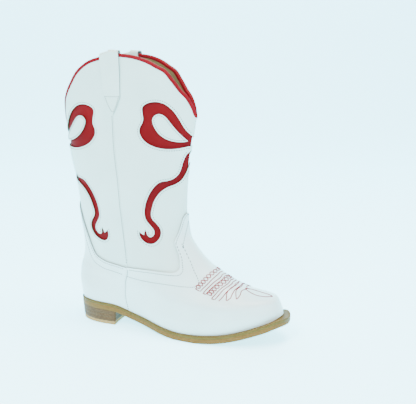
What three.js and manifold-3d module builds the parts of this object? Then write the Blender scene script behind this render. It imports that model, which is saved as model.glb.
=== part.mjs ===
// A pull-on cowboy boot for the right foot, built from its separate leather, board, cork,
// steel and stacked-leather pieces. Millimetres, +Z up, toe towards +X, outer side of the
// foot towards -Y. It is drawn with x = 0 at the back of the sole, then moved so that the
// origin lies under the middle of its bounding box, on the ground.

import * as THREE from 'three';
import { mergeVertices } from 'three/addons/utils/BufferGeometryUtils.js';
import Module from 'manifold-3d';

const wasm = await Module();
wasm.setup();

// ---------------------------------------------------------------- driving dimensions

const SOLE_LENGTH = 274;
const GAP = 0.42;
const SEAM_GAP = 0.5; // air between pieces that touch on the real boot
const LEATHER = 1.4; // shaft, vamp and counter cover
const INLAY = 0.9; // red leather behind the cut-outs, toe puff and heel stiffener
const LINING = 0.8;
const WELT = 3.0;
const OUTSOLE = 5.0;
const TOP_PIECE = 4.6;
const STACK_LIFTS = 3;
const LIFT = 4.2; // one leather lift of the heel stack
const BALL_TOP = 2 * GAP + WELT + OUTSOLE; // top of the welt's seat where the sole is flat on the ground

// Distances of each layer from the shaft's outer face, outward positive.
const VAMP_LAYER = { outer: GAP + LEATHER, inner: GAP };
const SHAFT_LAYER = { outer: 0, inner: -LEATHER };
const INLAY_LAYER = { outer: -LEATHER - GAP, inner: -LEATHER - GAP - INLAY };
const PUFF_LAYER = { outer: -1.5, inner: INLAY_LAYER.inner };
const LINING_OUTER = INLAY_LAYER.inner - 1.3 * GAP;
const LINING_LAYER = { outer: LINING_OUTER, inner: LINING_OUTER - LINING };

// The line where the upper meets the welt, seen from the side: [x, height].
const SOLE_LINE = [
  [0, 28.3], [30, 28.7], [58, 27.1], [80, 20.9], [106, 16], [128, 11.5], [150, BALL_TOP],
  [164, BALL_TOP], [180, 9.8], [197, 11.8], [217, 16.1], [238, 22.5], [257, 29.1], [268, 34.5],
];

// Rings of the upper from the sole to above the collar. back and front are the ends of the
// oval [x, height], half its half width, wide where it is widest (0 back, 1 front), curve how
// full its back and front ends are, waist how far the arch is drawn in, and sag how far the
// ring follows the sole line down.
const RINGS = [
  { back: [1.8, 28], front: [261.6, 36], half: 41.7, wide: 0.6, curve: [3, 2.1], waist: 0.27, sag: 1 },
  { back: [-1.7, 42], front: [259.6, 44], half: 43.3, wide: 0.6, curve: [2.8, 2.2], waist: 0.24, sag: 0.85 },
  { back: [-3.7, 53], front: [256.8, 50], half: 42.6, wide: 0.6, curve: [2.6, 2.2], waist: 0.2, sag: 0.7 },
  { back: [-3.7, 61], front: [252.3, 55], half: 41.6, wide: 0.58, curve: [2.4, 2.2], waist: 0.16, sag: 0.55 },
  { back: [-3, 69], front: [232.3, 58.5], half: 39.7, wide: 0.56, curve: [2.3, 2.2], waist: 0.12, sag: 0.4 },
  { back: [0, 78], front: [203.2, 68], half: 36.8, wide: 0.54, curve: [2.2, 2.15], waist: 0.08, sag: 0.25 },
  { back: [2, 91], front: [169, 87], half: 34.4, wide: 0.52, curve: [2.1, 2.05], waist: 0.04, sag: 0.12 },
  { back: [1.4, 110], front: [147.2, 112], half: 33, wide: 0.5, curve: [2.1, 1.9], waist: 0, sag: 0 },
  { back: [-2.3, 137], front: [142.5, 137], half: 32.3, wide: 0.48, curve: [2.1, 1.75], waist: 0, sag: 0 },
  { back: [-7.8, 180], front: [144, 180], half: 32.5, wide: 0.46, curve: [2.2, 1.6], waist: 0, sag: 0 },
  { back: [-16.5, 220], front: [149.3, 220], half: 32.3, wide: 0.45, curve: [2.2, 1.5], waist: 0, sag: 0 },
  { back: [-20.5, 262], front: [156, 262], half: 30.4, wide: 0.45, curve: [2.2, 1.35], waist: 0, sag: 0 },
  { back: [-27.4, 345], front: [165.8, 345], half: 28, wide: 0.45, curve: [2.2, 1.2], waist: 0, sag: 0 },
];
const ARCH_PLACE = 0.3; // where the waist is drawn in, as a share of the ring's length
const ARCH_SPREAD = 0.16;
const TOE_SWING = 6; // how far the toe turns towards the inner side
const SWING_START = 120;

// The side seam, as [height, distance round the ring from the back centre].
const SIDE_SEAM = [
  [28, 92.3], [43.4, 93], [67, 92.2], [83.1, 90.4], [95.7, 89.1], [113.8, 88.2], [141.2, 88.6],
  [155.2, 89], [187.8, 91.8], [214, 94.6], [260.8, 95.1], [345, 95],
];

// Half outlines, as [distance round the ring from the centre, height].
const COLLAR_FRONT = [
  [0, 261.5], [2, 264.2], [4.5, 269.5], [7.9, 275.3], [13.5, 283], [20.7, 289.8], [31.8, 302.2],
  [40.8, 312], [52.6, 318.3], [60.3, 322.3], [78.6, 328.5], [98, 331.3], [115, 332.5],
];
const COLLAR_BACK = [
  [0, 245.5], [3.5, 249], [7, 256.5], [10.5, 266], [13.5, 273.5], [22, 285.5], [32.4, 297.3],
  [43.1, 309.2], [60.3, 321], [82.5, 328], [98, 331.5], [115, 333.5],
];
const VAMP_TONGUE = [
  [0, 145.5], [3.5, 144.3], [6.8, 140.5], [9.5, 134.5], [12.7, 125.5], [17.4, 117.1], [24.2, 109.4],
];
const VAMP_QUARTER = [
  [24.2, 109.4], [25.3, 103.6], [28.3, 97.9], [35.6, 92.2], [42, 89], [53.5, 86.4], [69.2, 85.8],
  [93.3, 85.3], [128, 83.5], [170, 82.5],
];
const COUNTER_TOP = [
  [0, 151], [6, 148.5], [12, 143], [17.5, 134.5], [22, 123.5], [27.5, 112], [33, 99.7], [41, 88.7],
  [57, 83.5], [74.6, 82.9], [104, 83.1],
];

// The cut-out bow on the front and, a little wider, on the back: half of its loops, half of
// its tails, and the white drop inside each loop. Each inner list is one smooth run.
const BOW_LOOP = [
  [[0, 236.3], [11.3, 245.5], [20.8, 258.5], [28.2, 267.4], [37, 274.2], [43.8, 277],
    [51.2, 277.8], [58.5, 276.4], [63.7, 273.2], [65, 269.2], [63.8, 263.5], [62.6, 258],
    [63.3, 253], [65.4, 248], [65.3, 242.5], [62.3, 236.9], [57, 231.5], [48.1, 226.7],
    [37.9, 223.9], [27.2, 223.1], [16.6, 223.8], [8.6, 225.3], [0, 226.6]],
];
const BOW_TAIL = [
  [[0, 221.4], [3.8, 219], [7.1, 215.5], [9.7, 208.1], [11.2, 199.8], [13.8, 193.1], [19.1, 188.3],
    [25.5, 185.8], [32.5, 184.8], [38, 182], [43.3, 175.9], [47.4, 169.1], [50.7, 160.6],
    [52.6, 151.8], [52.8, 143.5], [50.9, 137.4], [46.6, 131.6], [43.2, 126], [43.1, 121.3],
    [45.8, 117.7], [49.5, 116.4], [51.9, 118.6], [52.4, 122.3]],
  [[52.4, 122.3], [53.3, 125.9]],
  [[53.3, 125.9], [54.9, 122.6], [56.2, 118.9]],
  [[56.2, 118.9], [58.5, 120.4], [61.4, 123.2]],
  [[61.4, 123.2], [61.9, 118.3], [60.5, 112.8], [56.8, 109.3], [51.5, 108.6], [44.6, 110.6],
    [38.3, 115.3], [35, 121.5], [35.4, 128.1], [38.9, 133.9], [43.6, 139.5], [45, 144.8],
    [43.8, 152.3], [41.3, 160.7], [37.1, 168.2], [31.6, 174], [24.4, 178.4], [16.2, 181.4],
    [9.2, 186.2], [4.6, 193.5], [1.8, 201], [0, 207]],
];
const BOW_DROP = [
  [[6.9, 232.4], [13.4, 237.4], [20.8, 243.9], [28.1, 251.3], [33.8, 257.7], [39.1, 262.2],
    [44.5, 263.7], [48.9, 262.1], [51.4, 258.4], [50.9, 253.9], [47.3, 247.1], [41.6, 240.7],
    [34.4, 235.8], [26.6, 232.9], [19.2, 231.6], [11.9, 231.4], [6.9, 232.4]],
];
const BOW_UNDERLAY = [
  [[0, 243], [12, 258], [24, 272.5], [38, 282], [52, 284], [66, 280.5], [71.5, 270], [71.5, 242],
    [62, 226], [50, 220], [30, 216.5]],
  [[30, 216.5], [18.5, 204], [20.5, 196], [27, 191.5], [36, 190.5], [44, 185], [52.5, 171],
    [57.5, 156], [58.5, 143], [60, 130], [67, 128], [67.5, 112], [59, 103.5], [48, 103.5],
    [34, 109.5], [29, 119], [29.5, 131], [38.5, 144], [36, 157], [28, 169.5], [14, 175], [4, 183],
    [0, 190]],
];
const BOW_FOOT = 108;
const BOW_HEIGHT = 171;
const BACK_BOW = { stretch: 1.05, drop: 1, lean: 3.5 };
const FRONT_BOW = { stretch: 1, drop: 0, lean: 0 };

const STRAP = { half: 11.6, thickness: 1.6, outerEnd: 262.6, innerEnd: 273, point: 18 };
const BINDING = { depth: 4, wall: 0.85, crown: 1.3 };
const DIP_EASE = 3; // how much higher the binding's crown rides over the folds at the dips
const DIP_WIDTH = 9;

// ---------------------------------------------------------------- smooth tables

/** The index of the row of a rising table that x falls after. */
function rowBefore(rows, x) {
  let row = 0;
  while (row < rows.length - 2 && x >= rows[row + 1][0]) {
    row += 1;
  }
  return row;
}

/** A smooth curve through rows of [x, value]. */
function smooth(rows, x) {
  const rise = (i) => (rows[i + 1][1] - rows[i][1]) / (rows[i + 1][0] - rows[i][0]);
  const slope = (i) => {
    if (i === 0) {
      return rise(0);
    }
    if (i === rows.length - 1) {
      return rise(i - 1);
    }
    const before = rows[i][0] - rows[i - 1][0];
    const after = rows[i + 1][0] - rows[i][0];
    return (rise(i - 1) * after + rise(i) * before) / (before + after);
  };
  const i = rowBefore(rows, x);
  const span = rows[i + 1][0] - rows[i][0];
  const t = (x - rows[i][0]) / span;
  const left = rows[i][1] * (1 + 2 * t) + slope(i) * span * t;
  const right = rows[i + 1][1] * (3 - 2 * t) - slope(i + 1) * span * (1 - t);
  return left * (1 - t) ** 2 + right * t ** 2;
}

const column = (read) => RINGS.map((ring, level) => [level, read(ring)]);
const RING_TABLE = {
  backX: column((ring) => ring.back[0]),
  backZ: column((ring) => ring.back[1]),
  frontX: column((ring) => ring.front[0]),
  frontZ: column((ring) => ring.front[1]),
  half: column((ring) => ring.half),
  wide: column((ring) => ring.wide),
  backCurve: column((ring) => ring.curve[0]),
  frontCurve: column((ring) => ring.curve[1]),
  waist: column((ring) => ring.waist),
  sag: column((ring) => ring.sag),
};
const TOP_LEVEL = RINGS.length - 1;

const soleLine = (x) => smooth(SOLE_LINE, x);

/** How far the boot turns towards the inner side at x. */
function swing(x) {
  const t = Math.max(0, (x - SWING_START) / (SOLE_LENGTH - SWING_START));
  return TOE_SWING * t ** 1.6;
}

// ---------------------------------------------------------------- the surface of the upper

/** The point of the upper's surface on a ring, at an angle from the front centre. */
function skin(level, angle) {
  const read = (name) => smooth(RING_TABLE[name], level);
  const [backX, frontX, wide] = [read('backX'), read('frontX'), read('wide')];
  const along = Math.cos(angle);
  const across = Math.abs(Math.sin(angle));
  const curve = along > 0 ? read('frontCurve') : read('backCurve');
  const reach = Math.sign(along) * Math.abs(along) ** (2 / curve);
  const share = wide + reach * (along > 0 ? 1 - wide : wide);
  const drawnIn = read('waist') * Math.exp(-(((share - ARCH_PLACE) / ARCH_SPREAD) ** 2));
  const x = backX + (frontX - backX) * share;
  const y = Math.sign(angle) * read('half') * across ** (2 / curve) * (1 - drawnIn);
  const straight = read('backZ') + (read('frontZ') - read('backZ')) * share;
  const start = RINGS[0].back;
  const end = RINGS[0].front;
  const chord = start[1] + ((end[1] - start[1]) * (x - start[0])) / (end[0] - start[0]);
  return new THREE.Vector3(x, y + swing(x), straight + read('sag') * (soleLine(x) - chord));
}

/** A point of the surface raised along its normal; the lowest ring stays on the sole line. */
function onSkin(level, angle, raise) {
  const step = 0.01;
  const low = Math.max(0, level - step);
  const high = Math.min(TOP_LEVEL, level + step);
  const round = skin(level, angle + step).sub(skin(level, angle - step));
  const up = skin(high, angle).sub(skin(low, angle));
  const bare = skin(level, angle);
  const point = bare.clone().addScaledVector(round.cross(up).normalize(), raise);
  const halfWidth = bare.y - swing(bare.x);
  if (raise < 0 && halfWidth !== 0) {
    // layers inside a sharp fold crowd together and never cross the middle
    const moved = point.y - bare.y;
    point.y = bare.y + halfWidth * (Math.exp(moved / halfWidth) - 1);
  }
  if (level <= 0) {
    point.z = soleLine(point.x);
  }
  return point;
}

/** The ring whose back centre is at this height. */
function levelAt(height) {
  let [low, high] = [0, TOP_LEVEL];
  for (let i = 0; i < 40; i += 1) {
    const middle = (low + high) / 2;
    if (smooth(RING_TABLE.backZ, middle) < height) {
      low = middle;
    } else {
      high = middle;
    }
  }
  return (low + high) / 2;
}

const ringLengths = new Map();

/** Lengths round half of a ring from the front centre, at equal steps of angle. */
function halfRing(height) {
  const key = height.toFixed(4);
  if (!ringLengths.has(key)) {
    const level = levelAt(height);
    const steps = 160;
    const lengths = [0];
    let before = skin(level, 0).setY(0);
    for (let i = 1; i <= steps; i += 1) {
      const point = skin(level, (Math.PI * i) / steps);
      point.y -= swing(point.x);
      lengths.push(lengths[i - 1] + point.distanceTo(before));
      before = point;
    }
    ringLengths.set(key, { level, lengths });
  }
  return ringLengths.get(key);
}

const halfLength = (height) => halfRing(height).lengths.at(-1);

/** The surface point at a distance round the ring from the front centre (inner side positive). */
function fromFront(distance, height, raise) {
  const { level, lengths } = halfRing(height);
  const steps = lengths.length - 1;
  const full = lengths[steps];
  const wrapped = Math.abs(distance) > full ? 2 * full - Math.abs(distance) : Math.abs(distance);
  const side = Math.abs(distance) > full ? -Math.sign(distance) : Math.sign(distance) || 1;
  let i = 0;
  while (i < steps - 1 && lengths[i + 1] < wrapped) {
    i += 1;
  }
  const part = (wrapped - lengths[i]) / (lengths[i + 1] - lengths[i]);
  return onSkin(level, (side * Math.PI * (i + part)) / steps, raise);
}

/** The same, measured from the back centre (outer side positive, so that it still runs round). */
function fromBack(distance, height, raise) {
  return fromFront(distance + halfLength(height), height, raise);
}

// ---------------------------------------------------------------- solids

/** A Manifold solid from any closed three.js geometry; each pair of triangles keeps its edges. */
function toSolid(geometry) {
  const bare = new THREE.BufferGeometry();
  bare.setAttribute('position', geometry.getAttribute('position').clone());
  bare.setIndex(geometry.getIndex());
  const merged = mergeVertices(bare, 1e-4);
  const triVerts = Uint32Array.from(merged.getIndex().array);
  return new wasm.Manifold(new wasm.Mesh({
    numProp: 3,
    vertProperties: new Float32Array(merged.getAttribute('position').array),
    triVerts,
    faceID: Uint32Array.from({ length: triVerts.length / 3 }, (unused, i) => Math.floor(i / 2)),
  }));
}

/** A three.js geometry from a Manifold solid, each point moved by place when it is given. */
function toGeometry(solid, place = (x, y, z) => [x, y, z]) {
  const mesh = solid.getMesh();
  const positions = [];
  for (let i = 0; i < mesh.vertProperties.length; i += mesh.numProp) {
    const [x, y, z] = mesh.vertProperties.slice(i, i + 3);
    positions.push(...place(x, y, z));
  }
  const geometry = new THREE.BufferGeometry();
  geometry.setAttribute('position', new THREE.Float32BufferAttribute(positions, 3));
  geometry.setIndex([...mesh.triVerts]);
  return geometry;
}

/** Points of a smooth curve through a list of [across, up] pairs. */
function curvePoints(list, perSpan = 3) {
  const curve = new THREE.SplineCurve(list.map(([across, up]) => new THREE.Vector2(across, up)));
  return curve.getPoints((list.length - 1) * perSpan);
}

const flip = (points) => points.map((point) => new THREE.Vector2(-point.x, point.y)).reverse();

/** A half outline made of smooth runs, as points without repeats. */
function halfOutline(runs, perSpan = 2) {
  return runs.flatMap((run, i) => curvePoints(run, perSpan).slice(i === 0 ? 0 : 1));
}

/** A closed shape from a half outline that starts and ends on the centre line. */
function mirroredShape(half) {
  return new THREE.Shape([...half, ...flip(half).slice(1, -1)]);
}

/** The bow's outline moved for the front or the back panel. */
function bowRuns(runs, bow) {
  return runs.map((run) => run.map(([across, up]) => {
    const share = (up - BOW_FOOT) / BOW_HEIGHT;
    return [across * bow.stretch, up - bow.drop - bow.lean * share];
  }));
}

/** The two openings of the bow: its loops and its tails. */
function bowHoles(bow) {
  return [
    mirroredShape(halfOutline(bowRuns(BOW_LOOP, bow))),
    mirroredShape(halfOutline(bowRuns(BOW_TAIL, bow), 1)),
  ];
}

/** A flat-cut solid in the panel's own plane: x round the boot, y up it, z outward. */
function cutter(shape) {
  const depth = 60;
  const geometry = new THREE.ExtrudeGeometry(shape, { depth, bevelEnabled: false, curveSegments: 4 });
  return toSolid(geometry.translate(0, 0, -depth / 2));
}

/** The lines across which every sheet bends: closer together near the centre line. */
const BEND_COLUMNS = [
  1.2, 4, 8, 12.5, 18, 25, 34, 45, 58, 71, 84, 97, 110, 122, 137, 152, 167, 182, 196, 210, 224,
];
const BEND_ROWS = [
  24, 35, 46, 57, 68, 78, 88, 98, 108, 119, 132, 150, 175, 215, 262, 345,
];

/** A flat sheet of leather with enough lines in it to bend; all sheets share the same lines. */
function sheet(layer, reach, low, high) {
  const right = BEND_COLUMNS.slice(0, BEND_COLUMNS.findIndex((across) => across >= reach) + 1);
  const columns = [...right.map((across) => -across).reverse(), 0, ...right];
  const first = BEND_ROWS.findLastIndex((height) => height < low);
  const rows = BEND_ROWS.slice(first, BEND_ROWS.findIndex((height) => height > high) + 1);
  const [across, up] = [columns.length - 1, rows.length - 1];
  const geometry = new THREE.BoxGeometry(across, up, layer.outer - layer.inner, across, up, 1);
  geometry.translate(across / 2, up / 2, (layer.outer + layer.inner) / 2);
  const position = geometry.getAttribute('position');
  for (let i = 0; i < position.count; i += 1) {
    position.setX(i, columns[Math.round(position.getX(i))]);
    position.setY(i, rows[Math.round(position.getY(i))]);
  }
  return toSolid(geometry);
}

/** Cuts a flat sheet to a shape, cuts holes in it and bends it onto the upper. */
function panel({ layer, shape, holes = [], place, low, high, reach }) {
  let flat = sheet(layer, reach, low, high).intersect(cutter(shape));
  for (const hole of holes) {
    flat = flat.subtract(cutter(hole));
  }
  return toGeometry(flat, (x, y, z) => place(x, y, z).toArray());
}

// ---------------------------------------------------------------- outlines of the upper's pieces

const FOOT = 28; // height of the sole line at the back centre
const CROWN = 340; // above every collar
const LAP = 10; // how far the shaft runs down behind the vamp
const WHOLE_SIDE = 122; // wide enough for either shaft panel
const WHOLE_FOOT = 224; // wide enough for the vamp from side seam to side seam

const SEAM_HEIGHTS = [
  ...Array.from({ length: 25 }, (unused, i) => FOOT + 4.5 * i),
  ...Array.from({ length: 7 }, (unused, i) => 144 + 28 * i),
];

/** The distance from the panel's centre line to the edge of its side seam. */
function reachAt(height, front) {
  const back = smooth(SIDE_SEAM, height);
  return (front ? halfLength(height) - back : back) - SEAM_GAP / 2;
}

/** A half outline cut off where it crosses the side seam. */
function upToSeam(points, front) {
  const room = (point) => reachAt(point.y, front) - point.x;
  const outside = points.findIndex((point) => room(point) <= 0);
  const last = points[outside - 1];
  const next = points[outside];
  const share = room(last) / (room(last) - room(next));
  const height = last.y + (next.y - last.y) * share;
  return [...points.slice(0, outside), new THREE.Vector2(reachAt(height, front), height)];
}

/** A panel's shape: a top line, the side seam down to its foot, and a bottom line. */
function panelShape(top, bottom, front) {
  const topLine = upToSeam(top, front);
  const footLine = upToSeam(bottom, front).reverse();
  const [low, high] = [footLine[0].y, topLine.at(-1).y];
  const between = SEAM_HEIGHTS.filter((height) => height > low + 1 && height < high - 1).reverse();
  const side = between.map((height) => new THREE.Vector2(reachAt(height, front), height));
  return mirroredShape([...topLine, ...side, ...footLine]);
}

const level = (height, reach) => [new THREE.Vector2(0, height), new THREE.Vector2(reach, height)];
const collarLine = (front) => [0, ...BEND_COLUMNS].filter((across) => across < 125).map((across) => (
  new THREE.Vector2(across, smooth(front ? COLLAR_FRONT : COLLAR_BACK, across))
));
const lowered = (points, by) => points.map((point) => new THREE.Vector2(point.x, point.y - by));
const vampLine = () => [...curvePoints(VAMP_TONGUE, 2), ...curvePoints(VAMP_QUARTER, 2).slice(1)];

// ---------------------------------------------------------------- the upper

function shaftFront() {
  return panel({
    layer: SHAFT_LAYER,
    shape: panelShape(collarLine(true), lowered(vampLine(), LAP), true),
    holes: bowHoles(FRONT_BOW),
    place: fromFront, low: 56, high: CROWN, reach: WHOLE_FOOT,
  });
}

function shaftBack() {
  return panel({
    layer: SHAFT_LAYER,
    shape: panelShape(collarLine(false), level(FOOT + 1, WHOLE_SIDE), false),
    holes: bowHoles(BACK_BOW),
    place: fromBack, low: FOOT, high: CROWN, reach: WHOLE_SIDE,
  });
}

/** The white drop in the middle of one loop: a piece of its own, stitched to the inlay. */
function drop(bow, side, place) {
  const half = halfOutline(bowRuns(BOW_DROP, bow)).slice(1);
  const points = half.map((point) => new THREE.Vector2(side * point.x, point.y));
  return panel({
    layer: SHAFT_LAYER, shape: new THREE.Shape(points), place,
    low: 200, high: 280, reach: 90,
  });
}

function inlay(bow, place) {
  return panel({
    layer: INLAY_LAYER, shape: mirroredShape(halfOutline(bowRuns(BOW_UNDERLAY, bow))), place,
    low: 90, high: 290, reach: WHOLE_SIDE,
  });
}

function vamp() {
  return panel({
    layer: VAMP_LAYER, shape: panelShape(vampLine(), level(FOOT, WHOLE_FOOT), true),
    place: fromFront, low: FOOT, high: 150, reach: WHOLE_FOOT,
  });
}

function counterCover() {
  return panel({
    layer: VAMP_LAYER, shape: panelShape(curvePoints(COUNTER_TOP, 2), level(FOOT, WHOLE_SIDE), false),
    place: fromBack, low: FOOT, high: 140, reach: WHOLE_SIDE,
  });
}

const LINING_JOIN = 95;

function liningFront() {
  return panel({
    layer: LINING_LAYER, shape: panelShape(collarLine(true), level(LINING_JOIN + GAP, WHOLE_SIDE), true),
    place: fromFront, low: LINING_JOIN, high: CROWN, reach: WHOLE_SIDE,
  });
}

function liningBack() {
  return panel({
    layer: LINING_LAYER, shape: panelShape(collarLine(false), level(FOOT + 1, WHOLE_SIDE), false),
    place: fromBack, low: FOOT, high: CROWN, reach: WHOLE_SIDE,
  });
}

function vampLining() {
  return panel({
    layer: LINING_LAYER, shape: panelShape(level(LINING_JOIN, WHOLE_FOOT), level(FOOT + 1, WHOLE_FOOT), true),
    place: fromFront, low: FOOT, high: LINING_JOIN + 5, reach: WHOLE_FOOT,
  });
}

/** A stiffener between the leather and the lining, an arch on the centre line. */
function stiffener(layer, half, top, place) {
  const low = FOOT + 1;
  const rise = top - low;
  const arch = [[half, low], [0.93 * half, low + 0.4 * rise], [0.62 * half, low + 0.8 * rise], [0, top]];
  const right = curvePoints(arch, 3);
  return panel({
    layer, shape: new THREE.Shape([...right, ...flip(right).slice(1)]), place,
    low: FOOT, high: top + 4, reach: half + 10,
  });
}

/** A band that runs along the collar line between two heights above it. */
function collarBand(front, low, high) {
  const edge = upToSeam(collarLine(front), front);
  const end = edge.at(-1).x - GAP;
  const half = [...edge.filter((point) => point.x < end - 1), new THREE.Vector2(end, edge.at(-1).y)];
  const line = [...flip(half).slice(0, -1), ...half];
  const ease = (across) => DIP_EASE * Math.exp(-((across / DIP_WIDTH) ** 2));
  const raised = (by) => line.map((point) => (
    new THREE.Vector2(point.x, point.y + by + (by > 0 ? ease(point.x) : 0))
  ));
  return new THREE.Shape([...raised(low), ...raised(high).reverse()]);
}

/** The red tape folded over the collar's edge, as a trough that runs along it. */
function binding(front) {
  const { depth, wall, crown } = BINDING;
  const outer = SHAFT_LAYER.outer + 1.5 * GAP;
  const inner = LINING_LAYER.inner - 1.5 * GAP;
  const bands = [
    [{ outer: outer + wall, inner: outer }, -depth, GAP + crown / 2],
    [{ outer: inner, inner: inner - wall }, -depth, GAP + crown / 2],
    [{ outer: outer + wall, inner: inner - wall }, GAP, GAP + crown / 2],
    [{ outer: outer + wall / 3, inner: inner - wall / 3 }, GAP, GAP + crown],
  ];
  const cut = ([layer, low, high]) => sheet(layer, WHOLE_SIDE, 240, CROWN).intersect(
    cutter(collarBand(front, low, high)),
  );
  const whole = bands.map(cut).reduce((joined, band) => joined.add(band));
  const place = front ? fromFront : fromBack;
  return toGeometry(whole, (x, y, z) => place(x, y, z).toArray());
}

/** The loop of leather over the collar on one side seam, stitched flat at both ends. */
function pullStrap(side) {
  const { half, thickness, outerEnd, innerEnd, point } = STRAP;
  const collar = 331.3;
  const clear = 2.5 * GAP + BINDING.wall + thickness;
  const outside = SHAFT_LAYER.outer + clear;
  const inside = LINING_LAYER.inner - clear;
  const bend = thickness + 0.8;
  const turn = collar + BINDING.crown + 4 * GAP + thickness - bend;
  const profile = new THREE.Shape();
  profile.moveTo(outerEnd, outside);
  profile.absarc(turn, outside - bend, bend, Math.PI / 2, 0, true);
  profile.absarc(turn, inside + bend, bend, 0, -Math.PI / 2, true);
  profile.lineTo(innerEnd, inside);
  profile.lineTo(innerEnd, inside + thickness);
  profile.absarc(turn, inside + bend, bend - thickness, -Math.PI / 2, 0, false);
  profile.absarc(turn, outside - bend, bend - thickness, 0, Math.PI / 2, false);
  profile.lineTo(outerEnd, outside - thickness);
  const strip = new THREE.ExtrudeGeometry(profile, {
    depth: 2 * half, steps: 4, bevelEnabled: false, curveSegments: 4,
  });
  strip.applyMatrix4(new THREE.Matrix4().set(
    0, 0, 1, -half,
    1, 0, 0, 0,
    0, 1, 0, 0,
    0, 0, 0, 1,
  ));
  const tip = new THREE.Shape();
  tip.moveTo(-half - 1, CROWN + 20);
  tip.lineTo(-half - 1, outerEnd + point);
  tip.quadraticCurveTo(-half + 1, outerEnd + point / 3, 0, outerEnd);
  tip.quadraticCurveTo(half - 1, outerEnd + point / 3, half + 1, outerEnd + point);
  tip.lineTo(half + 1, CROWN + 20);
  const flat = toSolid(strip).intersect(cutter(tip));
  return toGeometry(flat, (x, y, z) => {
    const back = smooth(SIDE_SEAM, y);
    const front = halfLength(y) - back;
    const reach = side * x;
    const edge = reach < 0 ? smooth(COLLAR_BACK, back + reach) : smooth(COLLAR_FRONT, front - reach);
    return fromBack(side * back + x, y + edge - collar, z).toArray();
  });
}

// ---------------------------------------------------------------- the sole

const PLAN_SAMPLES = 56;
const HEEL_SAMPLES = 72; // finer, because only the back of the oval is used

/** Points all round the sole line, moved outward by a distance that depends on the angle. */
function planOutline(outward, samples = PLAN_SAMPLES) {
  return Array.from({ length: samples }, (unused, i) => {
    const angle = -Math.PI + (2 * Math.PI * i) / samples;
    const extra = outward(angle);
    return onSkin(0, angle, extra);
  });
}

/** How far the welt and the outsole stand out past the upper: most at the toe. */
function soleEdge(angle) {
  const toe = Math.max(0, Math.cos(angle)) ** 3;
  const joint = Math.exp(-(((Math.abs(angle) - 1.2) / 0.5) ** 2));
  return VAMP_LAYER.outer + 1.4 + 7 * toe + 2.2 * joint;
}

/** A plate over a closed plan outline, with or without a hole, whose faces follow the sole line. */
function plate(outline, topAt, bottomAt, { hole = null, columns = 26 } = {}) {
  const inPlan = (points) => points.map((point) => new THREE.Vector2(point.x, point.y));
  const shape = new THREE.Shape(inPlan(outline));
  if (hole) {
    shape.holes.push(new THREE.Path(inPlan(hole)));
  }
  const slab = new THREE.ExtrudeGeometry(shape, { depth: 1, bevelEnabled: false });
  const lined = new THREE.BoxGeometry(SOLE_LENGTH + 40, 160, 1, columns, 1, 1);
  lined.translate(SOLE_LENGTH / 2, 0.1, 0.5);
  lined.scale(1, 1, 0.5);
  lined.translate(0, 0, 0.25);
  const solid = toSolid(lined).intersect(toSolid(slab));
  return toGeometry(solid, (x, y, z) => [x, y, z > 0.5 ? topAt(x) : bottomAt(x)]);
}

const WELT_INSET = 13; // how far the welt reaches in under the upper
const WELT_TOP = (x) => soleLine(x) - 1.5 * GAP;
const WELT_BOTTOM = (x) => WELT_TOP(x) - WELT;
const OUTSOLE_TOP = (x) => WELT_BOTTOM(x) - GAP;
const OUTSOLE_BOTTOM = (x) => Math.max(0, OUTSOLE_TOP(x) - OUTSOLE);

const NAIL_RADIUS = 1;
const NAIL_SIDES = 8;
const NAIL_PLACES = [[18, -13], [18, 13], [33, -19], [33, 19], [48, 0]];

/** A round bar standing between two heights. */
function bar(x, y, radius, low, high) {
  const geometry = new THREE.CylinderGeometry(radius, radius, high - low, NAIL_SIDES);
  return geometry.rotateX(Math.PI / 2).translate(x, y, (low + high) / 2);
}

/** Drills the heel nails' holes through a plate. */
function drilled(geometry) {
  let solid = toSolid(geometry);
  for (const [x, y] of NAIL_PLACES) {
    solid = solid.subtract(toSolid(bar(x, y, NAIL_RADIUS + GAP, TOP_PIECE, SOLE_LENGTH)));
  }
  return toGeometry(solid);
}

function outsole() {
  return drilled(plate(planOutline(soleEdge), OUTSOLE_TOP, OUTSOLE_BOTTOM));
}

/** The strip that the upper is stitched to, open in the middle for the filler and the shank. */
function welt() {
  return plate(planOutline(soleEdge), WELT_TOP, WELT_BOTTOM, { hole: planOutline(() => -WELT_INSET) });
}

const BOARD = 2.4;
const SOCK = 1.2;
const CORNER = 3.2; // the room the turned-in upper takes round the insole's edge

function insoleBoard() {
  const inset = LINING_LAYER.inner - CORNER;
  return plate(planOutline(() => inset), (x) => soleLine(x) + GAP + BOARD, (x) => soleLine(x) + GAP);
}

function sockLiner() {
  const inset = LINING_LAYER.inner - CORNER - 2 * GAP;
  const base = (x) => soleLine(x) + 2 * GAP + BOARD;
  return plate(planOutline(() => inset), (x) => base(x) + SOCK, base);
}

/** The cork that fills the hollow inside the welt under the ball and the toes. */
function forefootFiller() {
  const inset = -WELT_INSET - GAP;
  const start = 146;
  const outline = planOutline(() => inset).filter((point) => point.x > start);
  return plate(outline, (x) => WELT_TOP(x) - GAP, (x) => WELT_BOTTOM(x) + GAP);
}

/** The spring steel strip under the arch. */
function shank() {
  const [start, end, half, thickness] = [30, 143, 6.5, 1.6];
  const outline = [[start, -half], [end, -half], [end, half], [start, half]].map(
    ([x, y]) => new THREE.Vector3(x, y, 0),
  );
  const top = (x) => WELT_TOP(x) - GAP;
  return plate(outline, top, (x) => top(x) - thickness, { columns: 12 });
}

const HEEL_BREAST = { bottom: 57, top: 58.5 };
const BREAST_HOLLOW = 3;
const HEEL_TOP = TOP_PIECE + STACK_LIFTS * (LIFT + GAP);

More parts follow.
